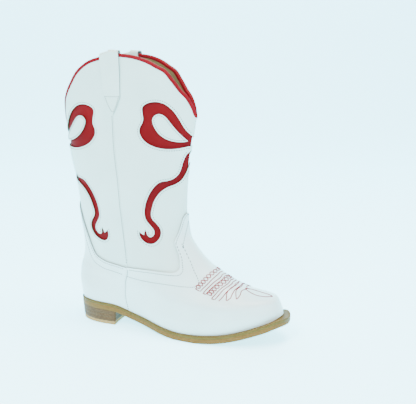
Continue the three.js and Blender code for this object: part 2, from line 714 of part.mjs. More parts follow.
/** The heel block's plan outline at a height: it narrows a little towards the ground. */
function heelOutline(height) {
  const share = Math.min(1, height / HEEL_TOP);
  const inset = -0.6 + 1.6 * share;
  const breast = HEEL_BREAST.bottom + (HEEL_BREAST.top - HEEL_BREAST.bottom) * share;
  const whole = planOutline(() => VAMP_LAYER.outer + inset, HEEL_SAMPLES);
  const round = whole.filter((point) => point.x < breast - 1);
  const lower = round.filter((point) => point.y < 0).sort((a, b) => a.x - b.x);
  const upper = round.filter((point) => point.y >= 0).sort((a, b) => b.x - a.x);
  const edge = [-1, -0.6, -0.2, 0.2, 0.6, 1].map((across) => new THREE.Vector3(
    breast - BREAST_HOLLOW * (1 - across ** 2), across * Math.abs(lower.at(-1).y), 0,
  ));
  return [...lower, ...edge, ...upper];
}

/** One lift of the heel between two heights; the top lift meets the underside of the outsole. */
function heelLift(low, high) {
  const outline = heelOutline(low + LIFT / 2);
  return drilled(plate(outline, (x) => (high === null ? OUTSOLE_BOTTOM(x) - GAP : high), () => low));
}

// ---------------------------------------------------------------- colours

const WHITE_LEATHER = { color: 0xe6eceb, roughness: 0.42, metalness: 0 };
const VAMP_LEATHER = { color: 0xeaf0ef, roughness: 0.38, metalness: 0 };
const RED_LEATHER = { color: 0xa8282c, roughness: 0.5, metalness: 0 };
const RED_TAPE = { color: 0xb42430, roughness: 0.55, metalness: 0 };
const LINING_LEATHER = { color: 0xc9b48e, roughness: 0.8, metalness: 0 };
const WELT_LEATHER = { color: 0xb59a66, roughness: 0.6, metalness: 0 };
const SOLE_LEATHER = { color: 0xb09468, roughness: 0.55, metalness: 0 };
const STACK_LEATHER = { color: 0x8c7862, roughness: 0.6, metalness: 0 };
const HEEL_RUBBER = { color: 0xcdb487, roughness: 0.7, metalness: 0 };
const BOARD_FIBRE = { color: 0xa98e6a, roughness: 0.9, metalness: 0 };
const CORK = { color: 0x9c7448, roughness: 0.95, metalness: 0 };
const STEEL = { color: 0x8d9094, roughness: 0.35, metalness: 1 };
const STIFFENER_BOARD = { color: 0xd8d0c0, roughness: 0.9, metalness: 0 };

// ---------------------------------------------------------------- assembly

const boot = new THREE.Group();

function add(name, geometry, finish) {
  geometry.computeVertexNormals();
  const mesh = new THREE.Mesh(geometry, new THREE.MeshStandardMaterial(finish));
  mesh.name = name;
  boot.add(mesh);
}

function addUpper() {
  add('shaft_front', shaftFront(), WHITE_LEATHER);
  add('shaft_back', shaftBack(), WHITE_LEATHER);
  add('vamp', vamp(), VAMP_LEATHER);
  add('counter_cover', counterCover(), VAMP_LEATHER);
  add('inlay_front', inlay(FRONT_BOW, fromFront), RED_LEATHER);
  add('inlay_back', inlay(BACK_BOW, fromBack), RED_LEATHER);
  add('drop_front_inner', drop(FRONT_BOW, 1, fromFront), WHITE_LEATHER);
  add('drop_front_outer', drop(FRONT_BOW, -1, fromFront), WHITE_LEATHER);
  add('drop_back_outer', drop(BACK_BOW, 1, fromBack), WHITE_LEATHER);
  add('drop_back_inner', drop(BACK_BOW, -1, fromBack), WHITE_LEATHER);
  add('binding_front', binding(true), RED_TAPE);
  add('binding_back', binding(false), RED_TAPE);
  add('pull_strap_outer', pullStrap(1), WHITE_LEATHER);
  add('pull_strap_inner', pullStrap(-1), WHITE_LEATHER);
}

function addInside() {
  add('lining_front', liningFront(), LINING_LEATHER);
  add('lining_back', liningBack(), LINING_LEATHER);
  add('vamp_lining', vampLining(), LINING_LEATHER);
  add('toe_puff', stiffener(PUFF_LAYER, 78, 63, fromFront), STIFFENER_BOARD);
  add('heel_stiffener', stiffener(INLAY_LAYER, 76, 74, fromBack), STIFFENER_BOARD);
  add('insole_board', insoleBoard(), BOARD_FIBRE);
  add('sock_liner', sockLiner(), LINING_LEATHER);
  add('shank', shank(), STEEL);
  add('forefoot_filler', forefootFiller(), CORK);
}

function addSole() {
  add('welt', welt(), WELT_LEATHER);
  add('outsole', outsole(), SOLE_LEATHER);
  for (let i = 1; i <= STACK_LIFTS; i += 1) {
    const low = TOP_PIECE + GAP + (STACK_LIFTS - i) * (LIFT + GAP);
    add(`heel_lift_${i}`, heelLift(low, i === 1 ? null : low + LIFT), STACK_LEATHER);
  }
  add('heel_top_piece', plate(heelOutline(0), () => TOP_PIECE, () => 0), HEEL_RUBBER);
  NAIL_PLACES.forEach(([x, y], i) => {
    const nail = bar(x, y, NAIL_RADIUS, TOP_PIECE + GAP, OUTSOLE_TOP(x) - GAP);
    add(`heel_nail_${i + 1}`, nail, STEEL);
  });
}

addUpper();
addInside();
addSole();

const bounds = new THREE.Box3().setFromObject(boot);
const centre = bounds.getCenter(new THREE.Vector3());
boot.position.set(-centre.x, -centre.y, -bounds.min.z);

export default boot;
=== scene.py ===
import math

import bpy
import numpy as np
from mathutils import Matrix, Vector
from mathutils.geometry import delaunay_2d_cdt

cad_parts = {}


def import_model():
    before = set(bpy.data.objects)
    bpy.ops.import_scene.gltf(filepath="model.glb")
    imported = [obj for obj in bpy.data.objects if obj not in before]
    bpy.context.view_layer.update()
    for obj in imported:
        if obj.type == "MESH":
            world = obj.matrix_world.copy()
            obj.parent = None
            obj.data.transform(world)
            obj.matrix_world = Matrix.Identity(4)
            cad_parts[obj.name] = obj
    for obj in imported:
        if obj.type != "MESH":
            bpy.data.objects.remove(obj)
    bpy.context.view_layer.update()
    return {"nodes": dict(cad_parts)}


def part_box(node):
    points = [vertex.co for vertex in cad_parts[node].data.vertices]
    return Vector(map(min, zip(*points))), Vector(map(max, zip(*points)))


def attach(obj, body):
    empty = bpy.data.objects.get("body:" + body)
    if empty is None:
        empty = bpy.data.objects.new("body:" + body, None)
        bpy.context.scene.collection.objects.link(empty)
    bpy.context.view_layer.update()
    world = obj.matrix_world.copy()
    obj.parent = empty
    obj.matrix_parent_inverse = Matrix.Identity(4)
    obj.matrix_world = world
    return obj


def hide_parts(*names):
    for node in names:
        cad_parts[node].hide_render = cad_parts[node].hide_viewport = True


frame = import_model()

# A pull-on cowboy boot in white leather with red inlays, dressed over its CAD parts. The
# upper is drawn in millimetres on its last: x from the back of the sole towards the toe,
# -y on the outer side, and each panel in its own flat pattern (distance round the boot
# from the panel's centre line, height). place_* bends the pattern onto the last.

MM = 0.001
SHANK_MIDDLE = 86.5  # x of the middle of the shank on the last
shank_low, shank_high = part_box("shank")
OFFSET = np.array([
    (shank_low.x + shank_high.x) / 2 - SHANK_MIDDLE * MM,
    (shank_low.y + shank_high.y) / 2,
    0.0,
])


def world(points):
    """Points on the last, in millimetres, as points of the frame."""
    return np.asarray(points, float) * MM + OFFSET


# ---------------------------------------------------------------- camera

CAMERA_AZIMUTH = math.radians(22.768)
CAMERA_ELEVATION = math.radians(12.071)
CAMERA_DISTANCE = 0.8
CAMERA_AIM = (170.1, 0, 160.7)
CAMERA_LENS = 58.53


def make_camera():
    data = bpy.data.cameras.new("camera")
    data.lens = CAMERA_LENS
    data.sensor_width = 36
    camera = bpy.data.objects.new("camera", data)
    bpy.context.scene.collection.objects.link(camera)
    back = Vector((
        math.sin(CAMERA_AZIMUTH) * math.cos(CAMERA_ELEVATION),
        -math.cos(CAMERA_AZIMUTH) * math.cos(CAMERA_ELEVATION),
        math.sin(CAMERA_ELEVATION),
    ))
    camera.location = Vector(world(CAMERA_AIM)) + CAMERA_DISTANCE * back
    camera.rotation_euler = back.to_track_quat("Z", "Y").to_euler()
    bpy.context.scene.camera = camera


make_camera()

# ---------------------------------------------------------------- the last

# Most numbers in the sole line, in the rings' back, front and half width, and in the outlines
# and toe rows below are fitted values. Separate fitting programs worked them out and they
# were copied in, some then adjusted by hand. They are not outlines chosen point by point.

SOLE_LENGTH = 274
BALL_TOP = 8.84
SOLE_LINE = [
    (0, 28.3), (30, 28.7), (58, 27.1), (80, 20.9), (106, 16), (128, 11.5), (150, BALL_TOP),
    (164, BALL_TOP), (180, 9.8), (197, 11.8), (217, 16.1), (238, 22.5), (257, 29.1), (268, 34.5),
]
# back x, back z, front x, front z, half width, where widest, back curve, front curve, waist, sag
RINGS = np.array([
    (1.8, 28, 261.6, 36, 41.7, 0.6, 3, 2.1, 0.27, 1),
    (-1.7, 42, 259.6, 44, 43.3, 0.6, 2.8, 2.2, 0.24, 0.85),
    (-3.7, 53, 256.8, 50, 42.6, 0.6, 2.6, 2.2, 0.2, 0.7),
    (-3.7, 61, 252.3, 55, 41.6, 0.58, 2.4, 2.2, 0.16, 0.55),
    (-3, 69, 232.3, 58.5, 39.7, 0.56, 2.3, 2.2, 0.12, 0.4),
    (0, 78, 203.2, 68, 36.8, 0.54, 2.2, 2.15, 0.08, 0.25),
    (2, 91, 169, 87, 34.4, 0.52, 2.1, 2.05, 0.04, 0.12),
    (1.4, 110, 147.2, 112, 33, 0.5, 2.1, 1.9, 0, 0),
    (-2.3, 137, 142.5, 137, 32.3, 0.48, 2.1, 1.75, 0, 0),
    (-7.8, 180, 144, 180, 32.5, 0.46, 2.2, 1.6, 0, 0),
    (-16.5, 220, 149.3, 220, 32.3, 0.45, 2.2, 1.5, 0, 0),
    (-20.5, 262, 156, 262, 30.4, 0.45, 2.2, 1.35, 0, 0),
    (-27.4, 345, 165.8, 345, 28, 0.45, 2.2, 1.2, 0, 0),
])
TOP_LEVEL = len(RINGS) - 1
ARCH_PLACE = 0.3
ARCH_SPREAD = 0.16
TOE_SWING = 6
SWING_START = 120

SIDE_SEAM = [
    (28, 92.3), (43.4, 93), (67, 92.2), (83.1, 90.4), (95.7, 89.1), (113.8, 88.2), (141.2, 88.6),
    (155.2, 89), (187.8, 91.8), (214, 94.6), (260.8, 95.1), (345, 95),
]
COLLAR_FRONT = [
    (0, 261.5), (2, 264.2), (4.5, 269.5), (7.9, 275.3), (13.5, 283), (20.7, 289.8), (31.8, 302.2),
    (40.8, 312), (52.6, 318.3), (60.3, 322.3), (78.6, 328.5), (98, 331.3), (115, 332.5),
]
COLLAR_BACK = [
    (0, 245.5), (3.5, 249), (7, 256.5), (10.5, 266), (13.5, 273.5), (22, 285.5), (32.4, 297.3),
    (43.1, 309.2), (60.3, 321), (82.5, 328), (98, 331.5), (115, 333.5),
]
VAMP_TONGUE = [
    (0, 145.5), (3.5, 144.3), (6.8, 140.5), (9.5, 134.5), (12.7, 125.5), (17.4, 117.1), (24.2, 109.4),
]
VAMP_QUARTER = [
    (24.2, 109.4), (25.3, 103.6), (28.3, 97.9), (35.6, 92.2), (42, 89), (53.5, 86.4), (69.2, 85.8),
    (93.3, 85.3), (128, 83.5), (170, 82.5),
]
COUNTER_TOP = [
    (0, 151), (6, 148.5), (12, 143), (17.5, 134.5), (22, 123.5), (27.5, 112), (33, 99.7), (41, 88.7),
    (57, 83.5), (74.6, 82.9), (104, 83.1),
]
BOW_LOOP = [[
    (0, 236.3), (11.3, 245.5), (20.8, 258.5), (28.2, 267.4), (37, 274.2), (43.8, 277), (51.2, 277.8),
    (58.5, 276.4), (63.7, 273.2), (65, 269.2), (63.8, 263.5), (62.6, 258), (63.3, 253), (65.4, 248),
    (65.3, 242.5), (62.3, 236.9), (57, 231.5), (48.1, 226.7), (37.9, 223.9), (27.2, 223.1),
    (16.6, 223.8), (8.6, 225.3), (0, 226.6),
]]
BOW_TAIL = [
    [(0, 221.4), (3.8, 219), (7.1, 215.5), (9.7, 208.1), (11.2, 199.8), (13.8, 193.1), (19.1, 188.3),
     (25.5, 185.8), (32.5, 184.8), (38, 182), (43.3, 175.9), (47.4, 169.1), (50.7, 160.6),
     (52.6, 151.8), (52.8, 143.5), (50.9, 137.4), (46.6, 131.6), (43.2, 126), (43.1, 121.3),
     (45.8, 117.7), (49.5, 116.4), (51.9, 118.6), (52.4, 122.3)],
    [(52.4, 122.3), (53.3, 125.9)],
    [(53.3, 125.9), (54.9, 122.6), (56.2, 118.9)],
    [(56.2, 118.9), (58.5, 120.4), (61.4, 123.2)],
    [(61.4, 123.2), (61.9, 118.3), (60.5, 112.8), (56.8, 109.3), (51.5, 108.6), (44.6, 110.6),
     (38.3, 115.3), (35, 121.5), (35.4, 128.1), (38.9, 133.9), (43.6, 139.5), (45, 144.8),
     (43.8, 152.3), (41.3, 160.7), (37.1, 168.2), (31.6, 174), (24.4, 178.4), (16.2, 181.4),
     (9.2, 186.2), (4.6, 193.5), (1.8, 201), (0, 207)],
]
BOW_DROP = [[
    (6.9, 232.4), (13.4, 237.4), (20.8, 243.9), (28.1, 251.3), (33.8, 257.7), (39.1, 262.2),
    (44.5, 263.7), (48.9, 262.1), (51.4, 258.4), (50.9, 253.9), (47.3, 247.1), (41.6, 240.7),
    (34.4, 235.8), (26.6, 232.9), (19.2, 231.6), (11.9, 231.4), (6.9, 232.4),
]]
BOW_UNDERLAY = [
    (0, 250), (24, 280), (44, 287), (70, 283), (74, 262), (72, 232), (62, 210), (63, 128),
    (69, 124), (69, 104), (58, 100), (30, 104), (0, 176),
]
BOW_FOOT = 108
BOW_HEIGHT = 171
FRONT_BOW = {"stretch": 1, "drop": 0, "lean": 0}
BACK_BOW = {"stretch": 1.05, "drop": 1, "lean": 3.5}

FOOT = 28
LAP = 10
SEAM_GAP = 0.14
LEATHER = 1.4
VAMP_OUTER = 1.82
VAMP_INNER = 0.1
INLAY_OUTER = -2.0
INLAY_INNER = -2.8
BACK_REACH = 122  # further round than any side seam, so that panels end on the seam
VAMP_REACH = 224
COLLAR_REACH = 125
EDGE_DROP = 0.022  # how far a cut edge starts below the panel's face
THREAD_RISE = 0.05


def unit(vectors):
    """Vectors scaled to length one."""
    return vectors / np.maximum(np.linalg.norm(vectors, axis=-1, keepdims=True), 1e-9)


def smooth(rows, x):
    """A smooth curve through rows of (x, value), at many x at once."""
    table = np.asarray(rows, float)
    xs, ys = table[:, 0], table[:, 1]
    x = np.asarray(x, float)
    step = np.diff(xs)
    rise = np.diff(ys) / step
    slope = np.concatenate([
        rise[:1],
        (rise[:-1] * step[1:] + rise[1:] * step[:-1]) / (step[1:] + step[:-1]),
        rise[-1:],
    ])
    i = np.clip(np.searchsorted(xs, x, side="right") - 1, 0, len(xs) - 2)
    span = step[i]
    t = (x - xs[i]) / span
    left = ys[i] * (1 + 2 * t) + slope[i] * span * t
    right = ys[i + 1] * (3 - 2 * t) - slope[i + 1] * span * (1 - t)
    return left * (1 - t) ** 2 + right * t ** 2


def sole_line(x):
    return smooth(SOLE_LINE, x)


def swing(x):
    t = np.maximum(0, (x - SWING_START) / (SOLE_LENGTH - SWING_START))
    return TOE_SWING * t ** 1.6


def skin(level, angle):
    """Points of the upper's surface on rings, at angles from the front centre."""
    level, angle = np.broadcast_arrays(level, angle)
    levels = np.arange(TOP_LEVEL + 1)
    read = [smooth(np.column_stack([levels, RINGS[:, c]]), level) for c in range(RINGS.shape[1])]
    back_x, back_z, front_x, front_z, half, wide, back_curve, front_curve, waist, sag = read
    along = np.cos(angle)
    across = np.abs(np.sin(angle))
    curve = np.where(along > 0, front_curve, back_curve)
    reach = np.sign(along) * np.abs(along) ** (2 / curve)
    share = wide + reach * np.where(along > 0, 1 - wide, wide)
    drawn_in = waist * np.exp(-(((share - ARCH_PLACE) / ARCH_SPREAD) ** 2))
    x = back_x + (front_x - back_x) * share
    y = np.sign(angle) * half * across ** (2 / curve) * (1 - drawn_in)
    straight = back_z + (front_z - back_z) * share
    start, end = RINGS[0, 0:2], RINGS[0, 2:4]
    chord = start[1] + (end[1] - start[1]) * (x - start[0]) / (end[0] - start[0])
    return np.stack([x, y + swing(x), straight + sag * (sole_line(x) - chord)], -1)


def on_skin(level, angle, lift):
    """Points raised along the surface's normal; the lowest ring stays on the sole line."""
    step = 0.01
    level, angle, lift = np.broadcast_arrays(level, angle, lift)
    low = np.maximum(0, level - step)
    high = np.minimum(TOP_LEVEL, level + step)
    around = skin(level, angle + step) - skin(level, angle - step)
    up = skin(high, angle) - skin(low, angle)
    normal = unit(np.cross(around, up))
    bare = skin(level, angle)
    point = bare + normal * np.asarray(lift)[..., None]
    half_width = bare[..., 1] - swing(bare[..., 0])
    safe = np.where(np.abs(half_width) < 1e-9, 1e-9, half_width)
    moved = point[..., 1] - bare[..., 1]
    squeezed = bare[..., 1] + half_width * (np.exp(np.clip(moved / safe, -50, 0)) - 1)
    inward = (lift < 0) & (np.abs(half_width) > 1e-9)
    point[..., 1] = np.where(inward, squeezed, point[..., 1])
    point[..., 2] = np.where(level <= 0, sole_line(point[..., 0]), point[..., 2])
    return point


LEVELS = np.linspace(0, TOP_LEVEL, 361)
LEVEL_HEIGHTS = smooth(np.column_stack([np.arange(TOP_LEVEL + 1), RINGS[:, 1]]), LEVELS)
SHARES = np.linspace(0, 1, 241)


def measure_rings():
    """Half lengths of the rings, and the angle at each share of the length from the front."""
    angles = np.linspace(0, math.pi, 401)
    points = skin(LEVELS[:, None], angles[None, :])
    points[..., 1] -= swing(points[..., 0])
    points[:, 0, 1] = 0
    steps = np.linalg.norm(np.diff(points, axis=1), axis=-1)
    runs = np.concatenate([np.zeros((len(LEVELS), 1)), np.cumsum(steps, 1)], 1)
    table = [np.interp(SHARES * run[-1], run, angles) for run in runs]
    return runs[:, -1], np.array(table)


HALF_LENGTHS, ANGLE_TABLE = measure_rings()


def half_length(height):
    return np.interp(height, LEVEL_HEIGHTS, HALF_LENGTHS)


def place_front(distance, height, lift):
    """Surface points at distances round the ring from the front centre (inner side positive)."""
    distance, height = np.broadcast_arrays(
        np.asarray(distance, float), np.asarray(height, float)
    )
    level = np.interp(height, LEVEL_HEIGHTS, LEVELS)
    full = half_length(height)
    away = np.abs(distance)
    beyond = away > full
    wrapped = np.where(beyond, 2 * full - away, away)
    side = np.where(distance < 0, -1.0, 1.0) * np.where(beyond, -1.0, 1.0)
    row = np.clip(level / TOP_LEVEL * (len(LEVELS) - 1), 0, len(LEVELS) - 1.001)
    column = np.clip(wrapped / full * (len(SHARES) - 1), 0, len(SHARES) - 1.001)
    i, j = row.astype(int), column.astype(int)
    a, b = row - i, column - j
    angle = (
        ANGLE_TABLE[i, j] * (1 - a) * (1 - b) + ANGLE_TABLE[i + 1, j] * a * (1 - b)
        + ANGLE_TABLE[i, j + 1] * (1 - a) * b + ANGLE_TABLE[i + 1, j + 1] * a * b
    )
    return on_skin(level, side * angle, lift)


def place_back(distance, height, lift):
    """The same, from the back centre (outer side positive)."""
    return place_front(np.asarray(distance, float) + half_length(height), height, lift)


# ---------------------------------------------------------------- outlines

def curve(points, per_span=6):
    """Points of a smooth curve through a list of points."""
    p = np.asarray(points, float)
    if len(p) == 2:
        t = np.linspace(0, 1, per_span + 1)[:, None]
        return p[0] + (p[1] - p[0]) * t
    ends = np.vstack([p[0], p, p[-1]])
    t = np.linspace(0, 1, per_span, endpoint=False)[:, None]
    out = []
    for i in range(len(p) - 1):
        a, b, c, d = ends[i:i + 4]
        slope_b, slope_c = (c - a) / 2, (d - b) / 2
        out.append(
            (2 * b - 2 * c + slope_b + slope_c) * t ** 3
            + (-3 * b + 3 * c - 2 * slope_b - slope_c) * t ** 2 + slope_b * t + b
        )
    return np.vstack([*out, p[-1:]])


def half_outline(runs, per_span=5):
    parts = [curve(run, per_span) for run in runs]
    return np.vstack([parts[0], *[part[1:] for part in parts[1:]]])


def mirrored(half):
    """A closed outline from one half that starts and ends on the centre line."""
    return np.vstack([half, (half * (-1, 1))[::-1][1:-1]])


def bow_runs(runs, bow):
    out = []
    for run in runs:
        p = np.asarray(run, float)
        share = (p[:, 1] - BOW_FOOT) / BOW_HEIGHT
        height = p[:, 1] - bow["drop"] - bow["lean"] * share
        out.append(np.column_stack([p[:, 0] * bow["stretch"], height]))
    return out


def seam_at(height, front, gap=SEAM_GAP):
    back = smooth(SIDE_SEAM, height)
    return (half_length(height) - back if front else back) - gap / 2


def up_to_seam(points, front):
    room = seam_at(points[:, 1], front) - points[:, 0]
    outside = int(np.argmax(room <= 0)) if (room <= 0).any() else len(points) - 1
    last, following = points[outside - 1], points[outside]
    share = room[outside - 1] / (room[outside - 1] - room[outside])
    height = last[1] + (following[1] - last[1]) * share
    return np.vstack([points[:outside], [(seam_at(height, front), height)]])


def panel_half(top, bottom, front):
    """Half a panel: its top line, the side seam down to its foot, and its bottom line."""
    top_line = up_to_seam(top, front)
    foot_line = up_to_seam(bottom, front)[::-1]
    heights = np.arange(top_line[-1, 1] - 2, foot_line[0, 1] + 1, -2.0)
    side = np.column_stack([seam_at(heights, front), heights])
    return np.vstack([top_line, side, foot_line])


def level_line(height, reach):
    across = np.arange(0, reach + 1, 2.0)
    return np.column_stack([across, np.full(len(across), float(height))])


def collar_line(front, step=1.0):
    across = np.arange(0, COLLAR_REACH, step)
    return np.column_stack([across, smooth(COLLAR_FRONT if front else COLLAR_BACK, across)])


def vamp_line():
    return np.vstack([curve(VAMP_TONGUE, 5), curve(VAMP_QUARTER, 8)[1:]])


def lowered(points, by):
    return points - (0, by)


def offset_line(points, by):
    """A line moved sideways by a distance, to its right as it runs."""
    along = unit(np.gradient(points, axis=0))
    return points + by * np.column_stack([along[:, 1], -along[:, 0]])


def inside(points, outline):
    """Which points lie inside a closed outline."""
    x, y = points[:, :1], points[:, 1:2]
    a, b = outline, np.roll(outline, -1, axis=0)
    crosses = (a[None, :, 1] > y) != (b[None, :, 1] > y)
    rise = np.where(b[:, 1] == a[:, 1], 1e-12, b[:, 1] - a[:, 1])
    at = a[None, :, 0] + (y - a[None, :, 1]) * ((b[:, 0] - a[:, 0]) / rise)[None, :]
    return (np.count_nonzero(crosses & (x < at), axis=1) % 2) == 1


def near(points, outline, room):
    """Which points lie within room of the outline's own points."""
    close = np.zeros(len(points), bool)
    for start in range(0, len(outline), 64):
        part = outline[start:start + 64]
        gaps = np.abs(points[:, None] - part[None]).max(-1)
        close |= gaps.min(1) < room
    return close


# ---------------------------------------------------------------- meshes

def make_object(name, vertices, faces, materials, face_slots=None, smooth_faces=True):
    mesh = bpy.data.meshes.new(name)
    mesh.from_pydata([tuple(v) for v in world(vertices)], [], [tuple(map(int, f)) for f in faces])
    for material in materials:
        mesh.materials.append(material)
    if face_slots is not None:
        mesh.polygons.foreach_set("material_index", np.asarray(face_slots, np.int32))
    mesh.polygons.foreach_set("use_smooth", np.full(len(faces), smooth_faces))
    mesh.update()
    obj = bpy.data.objects.new(name, mesh)
    bpy.context.scene.collection.objects.link(obj)
    return obj


def belong(obj, slot, *nodes):
    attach(obj, "root")
    if nodes:
        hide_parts(*nodes)
    return obj


def in_sheet(points, outline, holes):
    """Which points lie inside an outline and outside its holes."""
    keep = inside(points, outline)
    for hole in holes:
        keep &= ~inside(points, hole)
    return keep


def two_sides(triangles, count):
    """The triangles of a sheet's face, and the same turned over for its back."""
    back = [(t[2] + count, t[1] + count, t[0] + count) for t in triangles]
    return [tuple(t) for t in triangles] + back


def triangulate(outline, holes, cell):
    """Points and triangles that fill an outline with holes, in the flat."""
    low, high = outline.min(0), outline.max(0)
    columns = np.arange(math.floor(low[0] / cell), math.ceil(high[0] / cell) + 1) * cell
    rows = np.arange(math.floor(low[1] / cell), math.ceil(high[1] / cell) + 1) * cell
    grid = np.stack(np.meshgrid(columns, rows), -1).reshape(-1, 2)
    fine = np.arange(-4, 4.5, 1.0)
    if low[0] < 0 < high[0]:
        grid = np.vstack([grid, np.stack(np.meshgrid(fine, rows), -1).reshape(-1, 2)])
        grid = np.unique(np.round(grid, 3), axis=0)
    grid = grid[in_sheet(grid, outline, holes)]
    loops = [outline, *holes]
    for loop in loops:
        grid = grid[~near(grid, loop, cell * 0.4)]
    points, edges = [], []
    for loop in loops:
        first = len(points)
        points += [tuple(p) for p in loop]
        edges += [(first + i, first + (i + 1) % len(loop)) for i in range(len(loop))]
    points += [tuple(p) for p in grid]
    made = delaunay_2d_cdt([Vector(p) for p in points], edges, [], 0, 1e-4)
    flat = np.array([tuple(v) for v in made[0]])
    triangles = np.array([f for f in made[2] if len(f) == 3])
    triangles = triangles[in_sheet(flat[triangles].mean(1), outline, holes)]
    a, b, c = (flat[triangles[:, i]] for i in range(3))
    turn = (b[:, 0] - a[:, 0]) * (c[:, 1] - a[:, 1]) - (b[:, 1] - a[:, 1]) * (c[:, 0] - a[:, 0])
    triangles[turn < 0] = triangles[turn < 0][:, ::-1]
    return flat, triangles


def border(triangles):
    """The directed edges that belong to one triangle only."""
    edges = np.vstack([triangles[:, [0, 1]], triangles[:, [1, 2]], triangles[:, [2, 0]]])
    known = {tuple(e) for e in edges.tolist()}
    return np.array([e for e in edges.tolist() if (e[1], e[0]) not in known])


def leather_panel(name, outline, holes, place, outer, inner, materials, cell=2.4):
    """A sheet of leather bent onto the last, with its cut edges as a second material."""
    flat, triangles = triangulate(outline, holes, cell)
    top = place(flat[:, 0], flat[:, 1], outer)
    bottom = place(flat[:, 0], flat[:, 1], inner)
    rim = border(triangles)
    count = len(flat)
    used = np.unique(rim)
    index = {v: i for i, v in enumerate(used.tolist())}
    edge_top = place(flat[used, 0], flat[used, 1], outer - EDGE_DROP)
    edge_bottom = bottom[used]
    vertices = np.vstack([top, bottom, edge_top, edge_bottom])
    faces = two_sides(triangles, count)
    slots = [0] * len(faces)
    for a, b in rim.tolist():
        i, j = index[a], index[b]
        faces.append((
            2 * count + j, 2 * count + i,
            2 * count + len(used) + i, 2 * count + len(used) + j,
        ))
        slots.append(1 if len(materials) > 1 else 0)
    return make_object(name, vertices, faces, materials, slots)


def tube_rings(path, normals, radius, sides=6):
    """Vertices of a tube along a path that lies on a surface with these normals."""
    side = unit(np.cross(unit(np.gradient(path, axis=0)), normals))
    turn = np.arange(sides) * 2 * math.pi / sides
    ring = np.cos(turn)[None, :, None] * side[:, None] + np.sin(turn)[None, :, None] * normals[:, None]
    return path[:, None] + np.asarray(radius).reshape(-1, 1, 1) * ring


def resample(points, step):
    """Points at equal steps along a line."""
    points = np.asarray(points, float)
    runs = np.concatenate([[0], np.cumsum(np.linalg.norm(np.diff(points, axis=0), axis=1))])
    count = max(2, int(round(runs[-1] / step)) + 1)
    at = np.linspace(0, runs[-1], count)
    return np.column_stack([np.interp(at, runs, points[:, i]) for i in range(2)])


class Thread:
    """Collects stitches and cords in one mesh."""

    def __init__(self):
        self.vertices, self.faces = [], []

    def tube(self, line, place, lift, radius, sides=6):
        """A thin cord along a line of the flat pattern, tapered at its ends."""
        path = place(line[:, 0], line[:, 1], lift)
        normals = unit(place(line[:, 0], line[:, 1], lift + 0.5) - path)
        radii = np.full(len(path), radius)
        radii[[0, -1]] = radius * 0.3
        rings = tube_rings(path, normals, radii, sides)
        first = len(self.vertices)
        self.vertices += list(rings.reshape(-1, 3))
        for i in range(len(path) - 1):
            for j in range(sides):
                k = (j + 1) % sides
                a = first + i * sides
                self.faces.append((a + j, a + k, a + sides + k, a + sides + j))
        last = first + (len(path) - 1) * sides
        self.faces.append(tuple(range(first + sides - 1, first - 1, -1)))
        self.faces.append(tuple(range(last, last + sides)))

    def stitches(self, line, place, lift, pitch=2.9, length=1.8, radius=0.42):
        """A row of separate stitches along a line of the flat pattern."""
        if len(line) < 2:
            return
        even = resample(line, pitch)
        parts = np.array([-0.5, -0.2, 0.2, 0.5])[:, None] * length
        for spot, way in zip(even, unit(np.gradient(even, axis=0))):
            self.tube(spot + way * parts, place, lift, radius, sides=5)

    def finish(self, name, material, slot):
        obj = make_object(name, np.array(self.vertices), self.faces, [material])
        return belong(obj, slot)


# ---------------------------------------------------------------- materials

def node_material(name):
    material = bpy.data.materials.new(name)
    material.use_nodes = True
    tree = material.node_tree
    return material, tree.nodes, tree.links, tree.nodes["Principled BSDF"]


def speckle(nodes, links, scale, low, high, detail=3.0):
    """Noise in the frame's own metres, remapped to a range."""
    place = nodes.new("ShaderNodeTexCoord")
    noise = nodes.new("ShaderNodeTexNoise")
    noise.inputs["Scale"].default_value = scale
    noise.inputs["Detail"].default_value = detail
    links.new(place.outputs["Object"], noise.inputs["Vector"])
    remap = nodes.new("ShaderNodeMapRange")
    remap.inputs["From Min"].default_value = 0.3
    remap.inputs["From Max"].default_value = 0.7
    remap.inputs["To Min"].default_value = low
    remap.inputs["To Max"].default_value = high
    links.new(noise.outputs["Fac"], remap.inputs["Value"])
    return remap.outputs["Result"]


def mixed(nodes, links, factor, first, second):
    mix = nodes.new("ShaderNodeMix")
    mix.data_type = "RGBA"
    mix.inputs["A"].default_value = (*first, 1)
    mix.inputs["B"].default_value = (*second, 1)
    links.new(factor, mix.inputs["Factor"])
    return mix.outputs["Result"]


def bumped(nodes, links, shader, heights):
    """Adds bumps to the shader: heights is a list of (output, strength, distance)."""
    normal = None
    for height, strength, distance in heights:
        bump = nodes.new("ShaderNodeBump")
        bump.inputs["Strength"].default_value = strength
        bump.inputs["Distance"].default_value = distance
        links.new(height, bump.inputs["Height"])
        if normal is not None:
            links.new(normal, bump.inputs["Normal"])
        normal = bump.outputs["Normal"]
    links.new(normal, shader.inputs["Normal"])


def leather(name, colour, shade, roughness, grain=0.18, coat=0.0, shine=0.4):
    """Smooth leather: soft blotches, fine pores and a faint low relief."""
    material, nodes, links, shader = node_material(name)
    blotch = speckle(nodes, links, 28, 0, 1)
    links.new(mixed(nodes, links, blotch, colour, shade), shader.inputs["Base Color"])
    links.new(speckle(nodes, links, 90, roughness - 0.05, roughness + 0.07), shader.inputs["Roughness"])
    pores = speckle(nodes, links, 1500, 0, 1, 2)
    relief = speckle(nodes, links, 60, 0, 1, 2)
    bumped(nodes, links, shader, [(relief, 0.12, 0.0006), (pores, grain, 0.00012)])
    shader.inputs["Coat Weight"].default_value = coat
    shader.inputs["Coat Roughness"].default_value = 0.3
    shader.inputs["Specular IOR Level"].default_value = shine
    return material


